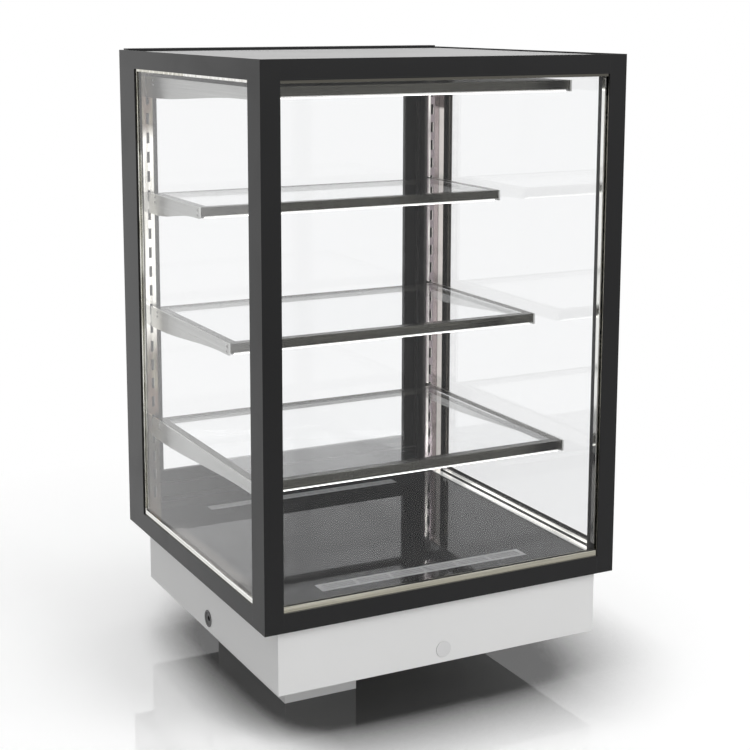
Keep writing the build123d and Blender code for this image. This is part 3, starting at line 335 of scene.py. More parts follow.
# Sheet, profiles and plastic under a sprayed or moulded skin
sprayedBase = {
    "wear": 0.6, "grain": 900.0, "specular": 0.5, "dust": 0.0, "dustColour": (0.3, 0.29, 0.27),
}
sprayedSets = {
    "blackCoat": {
        "colour": (0.0075, 0.0075, 0.008), "drift": (0.0105, 0.0105, 0.011), "edge": grey(0.05),
        "roughness": (0.30, 0.38), "specular": 0.2, "radius": 0.5 * mm, "peel": 0.012 * mm,
        "dust": 0.07,
    },
    "paleSheet": {
        "colour": (0.79, 0.79, 0.785), "drift": (0.82, 0.82, 0.815), "edge": grey(0.86),
        "roughness": (0.42, 0.5), "radius": 0.8 * mm, "peel": 0.01 * mm,
        "dust": 0.25, "dustColour": (0.6, 0.59, 0.57),
    },
    "roofSheet": {
        "colour": grey(0.42), "drift": grey(0.46), "edge": grey(0.7),
        "roughness": (0.45, 0.55), "specular": 0.12, "radius": 0.4 * mm, "peel": 0.008 * mm,
        "dust": 0.25, "dustColour": (0.55, 0.54, 0.52),
    },
    "grilleCoat": {
        "colour": (0.30, 0.30, 0.305), "drift": (0.33, 0.33, 0.335), "edge": grey(0.46),
        "roughness": (0.32, 0.42), "radius": 0.3 * mm, "peel": 0.006 * mm, "dust": 0.1,
    },
    "insulationFelt": {
        "colour": (0.62, 0.58, 0.46), "drift": (0.7, 0.67, 0.56), "edge": (0.75, 0.72, 0.62),
        "roughness": (0.9, 0.97), "radius": 0.5 * mm, "grain": 420.0, "peel": 0.5 * mm,
    },
    "blackPlastic": {
        "colour": (0.012, 0.012, 0.0125), "drift": (0.017, 0.017, 0.018), "edge": grey(0.05),
        "roughness": (0.42, 0.55), "radius": 0.3 * mm, "grain": 2200.0, "peel": 0.02 * mm,
        "dust": 0.1,
    },
    "sealRubber": {
        "colour": grey(0.011), "drift": grey(0.02), "edge": grey(0.04),
        "roughness": (0.6, 0.8), "radius": 0.3 * mm, "grain": 1400.0, "peel": 0.02 * mm,
        "dust": 0.05,
    },
}
# Finishes that differ from another one only in some values
sprayedSets.update({
    "keyPlastic": dict(
        sprayedSets["blackPlastic"], colour=(0.05, 0.052, 0.055), drift=(0.06, 0.062, 0.065), dust=0.0
    ),
    "capPlastic": dict(
        sprayedSets["blackPlastic"], colour=grey(0.3), drift=grey(0.34), edge=grey(0.45), dust=0.0
    ),
    "greyRubber": dict(
        sprayedSets["sealRubber"], colour=grey(0.12), drift=grey(0.15), edge=grey(0.2), dust=0.0
    ),
    "plugPlastic": dict(
        sprayedSets["paleSheet"], colour=grey(0.70), drift=grey(0.73), grain=1600.0, dust=0.0
    ),
})


def makeSprayed(name, opts):
    opts = {**sprayedBase, **opts}
    mat, tree, shader = newMaterial(name)
    edge = placeGroup(tree, roundedEdge, {"Radius": opts["radius"], "Wear": opts["wear"]})
    coat = placeGroup(tree, sprayedCoat, {"Grain": opts["grain"]})
    smear = placeGroup(tree, wipeMarks, {"Size": 5.0, "Cover": 0.6})
    dusty = placeGroup(tree, settledDust, {"Amount": opts["dust"]})
    colour = mixColour(tree, coat["Tone"], opts["colour"], opts["drift"])
    colour = mixColour(tree, edge["Edge"], colour, opts["edge"])
    colour = mixColour(tree, dusty["Mask"], colour, opts["dustColour"])
    feedAll(tree, shader, {"Base Color": colour, "Specular IOR Level": opts["specular"]})
    roughenFrom(tree, shader, smear["Mask"], opts["roughness"])
    bumpFrom(tree, shader, coat["Height"], opts["peel"], edge["Normal"])
    return mat


# Bare metal: its dark, plain and bright streaks, and the way its grain runs
steelBase = {
    "darkTo": 0.5, "lightFrom": 0.6, "radius": 0.4 * mm, "depth": 0.004 * mm,
    "turnedBeyond": None, "shadedAbove": None,
}
steelSets = {
    "polishedSteel": {
        "dark": (0.30, 0.28, 0.24), "colour": (0.80, 0.79, 0.75), "light": (0.97, 0.97, 0.95),
        "darkTo": 0.3, "lightFrom": 0.5, "roughness": (0.05, 0.12), "along": "none",
        "depth": 0.002 * mm,
    },
    "linerSteel": {
        "dark": (0.16, 0.155, 0.13), "colour": (0.45, 0.44, 0.40), "light": (0.85, 0.84, 0.80),
        "darkTo": 0.45, "roughness": (0.06, 0.14), "along": "x", "depth": 0.002 * mm,
    },
    "frontChannelSteel": {
        "dark": (0.20, 0.19, 0.145), "colour": (0.36, 0.345, 0.29), "light": (0.46, 0.45, 0.39),
        # above this height a painted reflection of the dark rail darkens it
        "roughness": (0.12, 0.24), "along": "x", "shadedAbove": 0.75,
    },
    "armSteel": {
        "dark": (0.40, 0.40, 0.39), "colour": (0.50, 0.50, 0.49), "light": (0.60, 0.60, 0.59),
        "roughness": (0.26, 0.4), "along": "y",
    },
    "railSteel": {
        "dark": (0.032, 0.032, 0.028), "colour": (0.062, 0.061, 0.053), "light": (0.12, 0.115, 0.095),
        "lightFrom": 0.7, "roughness": (0.16, 0.28), "along": "x",
        "turnedBeyond": abs(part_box("lower_shelf_glass")[0].x),
    },
    "plainSheet": {
        "dark": (0.34, 0.35, 0.36), "colour": (0.46, 0.47, 0.48), "light": (0.56, 0.57, 0.58),
        "roughness": (0.35, 0.5), "along": "x",
    },
    "handleSteel": {
        "dark": (0.44, 0.43, 0.41), "colour": (0.58, 0.57, 0.55), "light": (0.7, 0.69, 0.67),
        "roughness": (0.2, 0.32), "along": "z",
    },
    "stripSteel": {
        "dark": (0.75, 0.73, 0.68), "colour": (0.92, 0.91, 0.88), "light": (0.98, 0.98, 0.96),
        "darkTo": 0.3, "lightFrom": 0.5, "roughness": (0.05, 0.12), "along": "z",
        "radius": 0.2 * mm,
    },
    "screwSteel": {
        "dark": (0.25, 0.25, 0.24), "colour": (0.42, 0.42, 0.41), "light": (0.7, 0.7, 0.69),
        "roughness": (0.16, 0.3), "along": "none", "radius": 0.1 * mm,
    },
}
grainAlong = {
    "x": (9.0, 1900.0, 1900.0),
    "y": (1900.0, 9.0, 1900.0),
    "z": (1900.0, 1900.0, 9.0),
    "none": (700.0, 700.0, 700.0),
}
steelWear = {
    "edge": (0.9, 0.9, 0.89), "edgeCover": 0.6, "smearRoughness": 0.05, "lightOver": 0.25,
    # shaded and shadedCover: colour and share of a painted reflection of a dark rail
    "shaded": (0.045, 0.043, 0.038), "shadedCover": 0.85,
}


def steelTone(tree, streak, opts):
    # Dark, plain and bright streaks of a metal face
    opts = {**steelBase, **opts}
    colour = mixColour(tree, remap(tree, streak, 0.0, opts["darkTo"]), opts["dark"], opts["colour"])
    brightFrom = opts["lightFrom"]
    bright = remap(tree, streak, brightFrom, brightFrom + steelWear["lightOver"])
    return mixColour(tree, bright, colour, opts["light"])


def finishSteel(tree, shader, colour, streak, height, edge, opts):
    smear = placeGroup(tree, wipeMarks, {"Size": 7.0, "Cover": 0.7})
    worn = times(tree, edge["Edge"], steelWear["edgeCover"])
    colour = mixColour(tree, worn, colour, steelWear["edge"])
    rough = remap(tree, streak, 0.0, 1.0, *opts["roughness"])
    rough = calc(tree, "ADD", rough, times(tree, smear["Mask"], steelWear["smearRoughness"]))
    feedAll(tree, shader, {"Base Color": colour, "Metallic": 1.0, "Roughness": rough})
    bumpFrom(tree, shader, height, opts["depth"], edge["Normal"])


def makeSteel(name, opts):
    # Past turnedBeyond from the middle the grain runs front to rear. Above shadedAbove the metal is
    # darkened by a painted reflection of the dark rail over it.
    opts = {**steelBase, **opts}
    mat, tree, shader = newMaterial(name)
    edge = placeGroup(tree, roundedEdge, {"Radius": opts["radius"], "Wear": 0.5})
    grain = placeGroup(tree, brushedGrain, {"Lines": grainAlong[opts["along"]]})
    streak, height = grain["Streak"], grain["Height"]
    if opts["turnedBeyond"] is not None:
        turned = placeGroup(tree, brushedGrain, {"Lines": grainAlong["y"]})
        aside = calc(tree, "ABSOLUTE", split(tree, objectPoint(tree))["X"])
        outer = calc(tree, "GREATER_THAN", aside, opts["turnedBeyond"])
        streak = mixColour(tree, outer, streak, turned["Streak"])
        height = mixColour(tree, outer, height, turned["Height"])
    colour = steelTone(tree, streak, opts)
    # Painted reflection of the dark rail above a height
    if opts["shadedAbove"] is not None:
        tall = split(tree, objectPoint(tree))["Z"]
        shaded = calc(tree, "GREATER_THAN", tall, opts["shadedAbove"])
        shaded = times(tree, shaded, steelWear["shadedCover"])
        colour = mixColour(tree, shaded, colour, steelWear["shaded"])
    finishSteel(tree, shader, colour, streak, height, edge, opts)
    return mat


def paintGlintFrom(tree, shader, mask, colour, strength):
    # Painted glint: weak emission where polished metal would mirror the light strips
    glow = mixColour(tree, mask, black, colour)
    feedAll(tree, shader, {"Emission Color": glow, "Emission Strength": strength})


# Slotted uprights: tones of their painted reflections, highlights and edge shade, and where each one lies across
# and up them
uprightSet = {
    # Painted reflection tones: plain and dark on the right web, olive and brown on the left web, grey on the side
    # walls, light for the painted highlights
    "plain": (0.32, 0.275, 0.29), "dark": (0.15, 0.125, 0.13), "light": (0.97, 0.95, 0.89),
    "olive": (0.30, 0.275, 0.20), "brown": (0.17, 0.12, 0.09), "grey": (0.36, 0.34, 0.31),
    # edge: painted shade along the rims; the glint value: strength of the painted glint
    "edge": (0.02, 0.018, 0.016), "roughness": (0.05, 0.14), "paintedGlint": 0.4,
    # brightRise, brightFall and wallFall bound the painted highlights
    "brightRise": (0.30, 0.36),     # the left web is bright from here
    "brightFall": (0.665, 0.69),    # up to here
    "wallFall": (0.70, 0.705),      # the side walls are bright up to here
    # a painted highlight line on the right web
    "line": (260.4 * mm, 264.2 * mm),
    "lineSoft": 0.6 * mm,
    # widths of the painted shade along the inner rims, right and left, and along the outer rim
    "innerRims": (1.2 * mm, 1.8 * mm),
    "outerRim": 2.2 * mm,
    "lap": 4 * mm,                  # the side wall, past the web
    "longBands": {"Length": 7.0, "Shift": 3.0},
    "shortBands": {"Length": 16.0, "Shift": 11.0},
    "rounding": {"Radius": 0.8 * mm, "Wear": 0.0},
    "depth": 0.003 * mm,
}


def makeUprightSteel(name, opts):
    # Polished uprights: painted reflections as long bands, with painted highlights, painted glints, and painted
    # shade along their edges
    mat, tree, shader = newMaterial(name)
    across = [abs(corner.x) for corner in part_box("right_upright")]
    innerEdge, outerEdge = min(across), max(across) - opts["lap"]
    edge = placeGroup(tree, roundedEdge, opts["rounding"])
    grain = placeGroup(tree, brushedGrain, {"Lines": grainAlong["z"]})
    point = split(tree, objectPoint(tree))
    side, tall = point["X"], point["Z"]
    aside = calc(tree, "ABSOLUTE", side)
    onLeft = calc(tree, "LESS_THAN", side, 0.0)
    sideways = calc(tree, "ABSOLUTE", split(tree, surfaceNormal(tree))["X"])
    facing = remap(tree, sideways, 0.5, 0.8)
    long = placeGroup(tree, paintedReflectionBands, opts["longBands"])["Mask"]
    short = placeGroup(tree, paintedReflectionBands, opts["shortBands"])["Mask"]

    # Painted highlight on the left web between two heights, over painted reflection tones
    high = times(tree, remap(tree, tall, *opts["brightRise"]),
                 remap(tree, tall, *opts["brightFall"], 1.0, 0.0))
    leftPaintedHighlight = times(tree, high, remap(tree, long, 0.0, 1.0, 0.6, 1.0))
    leftWeb = mixColour(tree, short, opts["olive"], opts["brown"])
    leftWeb = mixColour(tree, leftPaintedHighlight, leftWeb, opts["light"])
    # Right web: painted reflection tone with a painted highlight line
    rightWeb = mixColour(tree, times(tree, grain["Streak"], 0.35), opts["plain"], opts["dark"])
    line = times(tree, within(tree, side, opts["line"], opts["lineSoft"]),
                 remap(tree, long, 0.0, 1.0, 0.25, 1.0))
    rightWeb = mixColour(tree, line, rightWeb, opts["light"])
    colour = mixColour(tree, onLeft, rightWeb, leftWeb)

    # Side walls: painted reflection, bright low down and grey above, with a painted glint
    lowWall = remap(tree, tall, *opts["wallFall"], 1.0, 0.0)
    wallPaintedHighlight = times(tree, lowWall, remap(tree, short, 0.0, 1.0, 0.7, 1.0))
    colour = mixColour(tree, facing, colour, mixColour(tree, wallPaintedHighlight, opts["grey"], opts["light"]))
    paintedGlint = calc(tree, "MAXIMUM", times(tree, leftPaintedHighlight, onLeft), times(tree, facing, lowWall))

    # Painted shade along the inner rims, and along the outer rims off the side walls
    innerWide = remap(tree, onLeft, 0.0, 1.0, *opts["innerRims"])
    nearInner = calc(tree, "LESS_THAN", calc(tree, "SUBTRACT", aside, innerEdge), innerWide)
    nearOuter = calc(tree, "GREATER_THAN", aside, outerEdge - opts["outerRim"])
    rim = calc(tree, "MAXIMUM", nearInner, times(tree, nearOuter, without(tree, facing)))
    colour = mixColour(tree, rim, colour, opts["edge"])
    paintGlintFrom(tree, shader, times(tree, paintedGlint, without(tree, rim)), opts["light"], opts["paintedGlint"])
    finishSteel(tree, shader, colour, grain["Streak"], grain["Height"], edge, opts)
    return mat


# Polished channels and trims of the side glasses: painted reflection, highlight and shade tones of each zone, and
# where it lies
sideChannelSet = {
    # Painted reflection tones of the left trim, and of the rear channels on the right and on the left
    "leftTrim": {
        "dark": (0.015, 0.012, 0.009), "colour": (0.075, 0.062, 0.05), "light": (0.24, 0.21, 0.18),
        "lightFrom": 0.66,
    },
    "rightRear": {
        "dark": (0.03, 0.027, 0.02), "colour": (0.12, 0.11, 0.095), "light": (0.4, 0.38, 0.32),
        "lightFrom": 0.7,
    },
    "leftRear": {
        "dark": (0.12, 0.11, 0.075), "colour": (0.42, 0.40, 0.31), "light": (0.97, 0.96, 0.9),
        "darkTo": 0.4, "lightFrom": 0.55,
    },
    # line: colour of the painted shade lines; pale: a painted highlight line; the glint value: strength of the
    # painted glint on the ledge
    "line": (0.02, 0.018, 0.014), "pale": (0.5, 0.47, 0.43), "paintedGlint": 0.5,
    "paleSpan": (-284.5 * mm, -278.5 * mm),
    "darkSpans": ((-257.5 * mm, -254.5 * mm), (-274.5 * mm, -272.5 * mm)),
    "ledgeFace": (27.3 * mm, 29.8 * mm),
    "ledgeSeam": (284.8 * mm, 287.9 * mm),
    "slitSpan": (-289.8 * mm, -285.0 * mm),
    "slitRise": (0.64, 0.65),
    "trimInset": 10.5 * mm,
    "aboveDeck": 2 * mm,
    "aboveRail": 12 * mm,
    # painted reflection patches on the left rear channel
    "bands": {"Length": 9.0, "Shift": 5.0},
    "rounding": {"Radius": 0.3 * mm, "Wear": 0.2},
    "roughness": steelSets["polishedSteel"]["roughness"],
    "depth": 0.003 * mm,
}


def makeSideChannel(name, opts, metal):
    # Each zone of the channels gets its own painted reflection tones, with painted highlights and painted shade
    # lines
    mat, tree, shader = newMaterial(name)
    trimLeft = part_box("side_glass_channels")[0].x + opts["trimInset"]
    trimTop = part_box("deck_glass")[1].z + opts["aboveDeck"]
    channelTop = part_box("bottom_rails")[1].z + opts["aboveRail"]
    edge = placeGroup(tree, roundedEdge, opts["rounding"])
    flatGrain = placeGroup(tree, brushedGrain, {"Lines": grainAlong["y"]})
    tallGrain = placeGroup(tree, brushedGrain, {"Lines": grainAlong["z"]})
    point = split(tree, objectPoint(tree))
    x, y, z = point["X"], point["Y"], point["Z"]
    onRight = calc(tree, "GREATER_THAN", x, 0.0)
    onLeft = without(tree, onRight)
    upper = calc(tree, "GREATER_THAN", z, channelTop)
    streak = mixColour(tree, upper, flatGrain["Streak"], tallGrain["Streak"])
    height = mixColour(tree, upper, flatGrain["Height"], tallGrain["Height"])
    atRear = times(tree, upper, calc(tree, "GREATER_THAN", y, 0.0))
    paintedReflectionPatch = placeGroup(tree, paintedReflectionBands, opts["bands"])["Mask"]

    # Trim along the deck's left side: painted reflection, with a painted highlight line and painted shade lines
    trim = times(tree, calc(tree, "LESS_THAN", z, trimTop), calc(tree, "GREATER_THAN", x, trimLeft))
    brown = steelTone(tree, streak, opts["leftTrim"])
    brown = mixColour(tree, within(tree, x, opts["paleSpan"], 0.4 * mm), brown, opts["pale"])
    paintedShadeLines = [within(tree, x, span, 0.3 * mm) for span in opts["darkSpans"]]
    brown = mixColour(tree, calc(tree, "MAXIMUM", *paintedShadeLines), brown, opts["line"])
    colour = mixColour(tree, times(tree, trim, onLeft), steelTone(tree, streak, metal), brown)

    # Ledge along its right side: a painted glint, but for painted shade on its face and along its seam
    ledge = times(tree, onRight, without(tree, upper))
    low, high = opts["ledgeFace"]
    face = times(tree, calc(tree, "LESS_THAN", z, high), calc(tree, "GREATER_THAN", z, low))
    paintedLedgeShade = calc(tree, "MAXIMUM", face, within(tree, x, opts["ledgeSeam"], 0.1 * mm))
    colour = mixColour(tree, times(tree, paintedLedgeShade, ledge), colour, opts["line"])
    paintedGlint = times(tree, times(tree, ledge, without(tree, paintedLedgeShade)),
                  remap(tree, streak, 0.2, 0.7, 0.35, 1.0))
    paintGlintFrom(tree, shader, paintedGlint, metal["light"], opts["paintedGlint"])

    # Rear channels: painted reflections, darker on the right and lighter on the left, with painted reflection
    # patches and a painted dark slit on the left
    rightRear = steelTone(tree, streak, opts["rightRear"])
    leftRear = steelTone(tree, streak, opts["leftRear"])
    leftRear = mixColour(tree, times(tree, paintedReflectionPatch, 0.8), leftRear, opts["leftRear"]["light"])
    slit = times(tree, within(tree, x, opts["slitSpan"], 0.3 * mm), remap(tree, z, *opts["slitRise"]))
    leftRear = mixColour(tree, slit, leftRear, opts["line"])
    colour = mixColour(tree, times(tree, atRear, onRight), colour, rightRear)
    colour = mixColour(tree, times(tree, atRear, onLeft), colour, leftRear)
    finishSteel(tree, shader, colour, streak, height, edge, opts)
    return mat


clearGlassSet = {
    "colour": (0.962, 0.965, 0.968), "smearColour": (0.95, 0.954, 0.957),
    "shadow": (0.95, 0.96, 0.955), "ior": 1.5, "roughness": (0.0, 0.02),
    "smears": {"Size": 4.0, "Cover": 0.35},
}
coatedGlassSet = dict(clearGlassSet, ior=1.3)


def makeClearGlass(name, opts):
    # Float glass. Lamps shine straight through it.
    mat, tree, shader = newMaterial(name)
    smearOver(tree, shader, opts)
    feedAll(tree, shader, {"IOR": opts["ior"], "Transmission Weight": 1.0})
    surface = shader.outputs[0].links[0].to_socket
    clear = makeNode(tree, "ShaderNodeBsdfTransparent", {"Color": opts["shadow"]}).outputs[0]
    shadowRay = makeNode(tree, "ShaderNodeLightPath").outputs["Is Shadow Ray"]
    tree.links.new(mixShader(tree, shadowRay, shader.outputs[0], clear), surface)
    return mat


blackGlassSet = {
    "colour": (0.005, 0.005, 0.006), "smearColour": (0.009, 0.009, 0.01),
    "roughness": (0.02, 0.08), "specular": 0.17, "smears": {"Size": 9.0, "Cover": 0.5},
}


def makeBlackGlass(name, opts):
    mat, tree, shader = newMaterial(name)
    smearOver(tree, shader, opts)
    shader.inputs["Specular IOR Level"].default_value = opts["specular"]
    return mat


lightLensSet = {
    "pitch": 5 * mm, "spot": 0.42, "strength": 4.0, "between": (0.40, 0.40, 0.385),
    "bead": (1.0, 0.99, 0.96), "colour": (0.8, 0.8, 0.78), "drift": (0.86, 0.86, 0.84),
    "unlit": 0.10, "roughness": (0.25, 0.4),
}


def makeLightLens(name, opts):
    # Milky lens, lit from behind by a row of diodes
    mat, tree, shader = newMaterial(name)
    bead = placeGroup(tree, beadRow, {"Pitch": opts["pitch"], "Spot": opts["spot"]})
    lit = remap(tree, split(tree, surfaceNormal(tree))["Z"], -0.2, -0.55, opts["unlit"], 1.0)
    glow = mixColour(tree, bead["Mask"], opts["between"], opts["bead"])
    glow = mixColour(tree, 1.0, glow, lit, blend="MULTIPLY")
    frost = placeGroup(tree, sprayedCoat, {"Grain": 1500.0})
    colour = mixColour(tree, frost["Tone"], opts["colour"], opts["drift"])
    feedAll(tree, shader, {
        "Base Color": colour, "Emission Color": glow, "Emission Strength": opts["strength"],
    })
    roughenFrom(tree, shader, frost["Height"], opts["roughness"], 0.3, 0.7)
    bumpFrom(tree, shader, frost["Height"], 0.01 * mm)
    return mat


elementSheathSet = {
    "browned": (0.16, 0.12, 0.09), "blued": (0.10, 0.11, 0.14), "streak": (0.24, 0.21, 0.18),
    "metallic": 0.9, "roughness": (0.38, 0.55),
}


def makeElementSheath(name, opts):
    # Drawn steel sheath, blued and browned in bands by heat
    mat, tree, shader = newMaterial(name)
    bands = remap(tree, cloud(tree, objectPoint(tree), 14.0, 3.0), 0.35, 0.65)
    grain = placeGroup(tree, brushedGrain, {"Lines": grainAlong["x"]})
    colour = mixColour(tree, bands, opts["browned"], opts["blued"])
    colour = mixColour(tree, times(tree, grain["Streak"], 0.4), colour, opts["streak"])
    feedAll(tree, shader, {"Base Color": colour, "Metallic": opts["metallic"]})
    roughenFrom(tree, shader, grain["Streak"], opts["roughness"])
    bumpFrom(tree, shader, grain["Height"], 0.01 * mm)
    return mat


displayWindowSet = {
    "colour": (0.012, 0.006, 0.006), "smearColour": (0.03, 0.02, 0.02), "roughness": (0.06, 0.2),
    "smears": {"Size": 30.0, "Cover": 0.6},
}


def makeDisplayWindow(name, opts):
    # Smoked window of the controller
    mat, tree, shader = newMaterial(name)
    smearOver(tree, shader, opts)
    edge = placeGroup(tree, roundedEdge, {"Radius": 0.2 * mm, "Wear": 0.2})
    tree.links.new(edge["Normal"], shader.inputs["Normal"])
    return mat


digitGlowSet = {"colour": (1.0, 0.09, 0.03), "dimmer": 0.8, "strength": 3.0, "roughness": 0.4}


def makeGlowing(name, opts):
    # Lit segments, a little uneven in their light
    mat, tree, shader = newMaterial(name)
    uneven = cloud(tree, objectPoint(tree), 900.0)
    dimmer = tuple(opts["dimmer"] * part for part in opts["colour"])
    glow = mixColour(tree, uneven, dimmer, opts["colour"])
    feedAll(tree, shader, {
        "Base Color": glow, "Roughness": opts["roughness"],
        "Emission Color": glow, "Emission Strength": opts["strength"],
    })
    return mat


markPrintSet = {"colour": (0.75, 0.75, 0.73), "darker": 0.85, "roughness": (0.4, 0.6)}


def makePrinted(name, opts):
    # Printed or filled marks on plastic
    mat, tree, shader = newMaterial(name)
    coat = placeGroup(tree, sprayedCoat, {"Grain": 2500.0, "Drift": 200.0})
    darker = tuple(opts["darker"] * part for part in opts["colour"])
    feed(tree, shader.inputs["Base Color"], mixColour(tree, coat["Tone"], darker, opts["colour"]))
    roughenFrom(tree, shader, coat["Height"], opts["roughness"], 0.3, 0.7)
    bumpFrom(tree, shader, coat["Height"], 0.005 * mm)
    return mat


finishes = {name: makeSprayed(name, opts) for name, opts in sprayedSets.items()}
finishes.update({name: makeSteel(name, opts) for name, opts in steelSets.items()})
finishes.update({
    "sideChannelSteel": makeSideChannel(
        "sideChannelSteel", sideChannelSet, steelSets["polishedSteel"]
    ),
    "uprightSteel": makeUprightSteel("uprightSteel", uprightSet),
    "clearGlass": makeClearGlass("clearGlass", clearGlassSet),
    "coatedGlass": makeClearGlass("coatedGlass", coatedGlassSet),
    "blackGlass": makeBlackGlass("blackGlass", blackGlassSet),
    "lightLens": makeLightLens("lightLens", lightLensSet),
    "elementSheath": makeElementSheath("elementSheath", elementSheathSet),
    "displayWindow": makeDisplayWindow("displayWindow", displayWindowSet),
    "digitGlow": makeGlowing("digitGlow", digitGlowSet),
    "markPrint": makePrinted("markPrint", markPrintSet),
})
print("materials made")

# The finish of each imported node: first by its slot, then by name
slotFinishes = {
    "black_frame": "blackCoat",
    "clear_glass": "clearGlass",
    "polished_steel": "polishedSteel",
    "satin_steel": "uprightSteel",
    "dark_steel": "railSteel",
    "light_lens": "lightLens",
    "black_glass": "blackGlass",
    "grille_grey": "grilleCoat",
    "pale_sheet": "paleSheet",
    "plain_sheet": "plainSheet",
    "element_sheath": "elementSheath",
    "insulation": "insulationFelt",
    "seal_rubber": "sealRubber",
    "black_plastic": "blackPlastic",
    "display_window": "displayWindow",
    "handle_steel": "handleSteel",
}
shelfNames = ("lower_shelf", "middle_shelf", "upper_shelf", "canopy")
nodeFinishes = {
    **{f"{shelf}_arms": "armSteel" for shelf in shelfNames},
    "front_glass": "coatedGlass",
    "left_glass": "coatedGlass",
    "door_glass": "coatedGlass",
    "front_glass_channels": "frontChannelSteel",
    "side_glass_channels": "sideChannelSteel",
    "ceiling_liner": "linerSteel",
    "roof_panel": "roofSheet",
    "canopy_panel": "railSteel",
    "entry_plugs": "plugPlastic",
    "key_up": "keyPlastic",
    "key_set": "keyPlastic",
    "key_down": "keyPlastic",
}
slotOf = {part["node"]: part["material_slot"] for part in frame["record"]["subparts"]}
for name, node in frame["nodes"].items():
    finish = finishes[nodeFinishes.get(name, slotFinishes[slotOf[name]])]
    for place in node.material_slots:
        place.material = finish
print("finishes assigned")


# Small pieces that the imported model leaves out

def meshPiece(name, mesh, finish, body, standsFor=()):
    bmesh.ops.recalc_face_normals(mesh, faces=mesh.faces)
    data = bpy.data.meshes.new(name)
    mesh.to_mesh(data)
    mesh.free()
    for face in data.polygons:
        face.use_smooth = True
    data.set_sharp_from_angle(angle=math.radians(32))
    data.materials.append(finishes[finish])
    piece = bpy.data.objects.new(name, data)
    scene.collection.objects.link(piece)
    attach(piece, body)
    if standsFor:
        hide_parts(*standsFor)


def skinLoops(mesh, loops, joined=False, around=True):
    # Faces from each loop of points to the next one. Closed loops get end caps, unless the last
    # one joins the first.
    count = len(loops[0])
    following = loops[1:] + loops[:1] if joined else loops[1:]
    for first, second in zip(loops, following):
        for step in range(count if around else count - 1):
            after = (step + 1) % count
            mesh.faces.new((first[step], first[after], second[after], second[step]))
    if around and not joined:
        mesh.faces.new(loops[0])
        mesh.faces.new(loops[-1])


def anglesAround(count):
    return [2 * math.pi * step / count for step in range(count)]


def turnRings(mesh, place, axis, rings, count=24):
    # Rings of points about an axis, joined in a skin. A radius may be a number or follow the angle.
    axis = Vector(axis).normalized()
    side = axis.orthogonal().normalized()
    other = axis.cross(side)
    loops = []
    for radius, height in rings:
        loop = []
        for angle in anglesAround(count):
            reach = radius(angle) if callable(radius) else radius
            spot = Vector(place) + axis * height
            arm = side * math.cos(angle) + other * math.sin(angle)
            loop.append(mesh.verts.new(spot + arm * reach))
        loops.append(loop)
    skinLoops(mesh, loops)


def inMillimetres(rings):
    return [(radius * mm, height * mm) for radius, height in rings]


def hexReach(flat):
    # Distance to a hexagon's side at an angle
    third = math.pi / 3
    return lambda angle: flat / math.cos((angle % third) - third / 2)


# Radius and height of a screw head's rings, as shares of its radius
screwSet = {
    "head": ((0.94, 0.0), (1.0, 0.1), (0.97, 0.3), (0.82, 0.48), (0.58, 0.56)),
    "socket": 0.42,
    "socketRise": (0.57, 0.2),
    "floor": (0.08, 0.17),
}


def addScrew(mesh, place, axis, radius):
    # Low domed head with a hexagon socket
    socket = hexReach(radius * screwSet["socket"])
    rings = [(radius * wide, radius * rise) for wide, rise in screwSet["head"]]
    rings += [(socket, radius * rise) for rise in screwSet["socketRise"]]
    wide, rise = screwSet["floor"]
    rings.append((radius * wide, radius * rise))
    turnRings(mesh, place, axis, rings)


# Screws through the front and rear ends of each pair of arms, on their outer sides
armScrewSet = {
    "radius": 2.1 * mm, "inset": 6.0 * mm, "heights": (4.8 * mm, 12.6 * mm), "rearInset": 20.0 * mm,
}
for shelf in shelfNames:
    low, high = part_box(f"{shelf}_arms")
    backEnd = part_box(f"{shelf}_frame")[1].y
    mesh = bmesh.new()
    for side in (-1, 1):
        for y in (low.y + armScrewSet["inset"], backEnd - armScrewSet["rearInset"]):
            for drop in armScrewSet["heights"]:
                place = (side * high.x, y, high.z - drop)
                addScrew(mesh, place, (side, 0, 0), armScrewSet["radius"])
    meshPiece(f"{shelf}_screws", mesh, "screwSteel", caseBody)

# Grey end caps of the light strips: each section's distance along the cap and its share of width
lightCapSet = {
    "length": 2.5 * mm, "proud": 0.35 * mm, "steps": 24, "lift": 0.4, "belly": 1.5,
    "sections": ((0.0, 1.0), (0.8, 1.0), (1.0, 0.9)),
}


def addLightCap(mesh, side, low, high, opts):
    middle, half = (low + high) / 2, (high - low) / 2
    wide = half.y + opts["proud"]
    outline = []
    for step in range(opts["steps"] + 1):
        angle = math.pi + math.pi * step / opts["steps"]
        outline.append((middle.y + math.cos(angle) * wide,
                        middle.z + half.z * opts["lift"] + math.sin(angle) * half.z * opts["belly"]))
    outline += [(middle.y + wide, high.z), (middle.y - wide, high.z)]
    loops = []
    for along, share in opts["sections"]:
        x = side * (high.x + along * opts["length"])
        loops.append([
            mesh.verts.new((x, middle.y + (y - middle.y) * share, high.z + (z - high.z) * share))
            for y, z in outline
        ])
    skinLoops(mesh, loops)


for shelf in shelfNames:
    mesh = bmesh.new()
    for side in (-1, 1):
        addLightCap(mesh, side, *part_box(f"{shelf}_light"), lightCapSet)
    meshPiece(f"{shelf}_light_caps", mesh, "capPlastic", caseBody)
print("shelf fixings made")

# Polished edge strips on the inner faces of the front posts, behind the front glass
stripSet = {
    "face": 270 * mm, "thick": 0.8 * mm, "span": (-280.2 * mm, -272.0 * mm),
    "rise": (46 * mm, 775 * mm), "round": 0.5 * mm, "shoulder": 0.6, "endThick": 0.5,
}


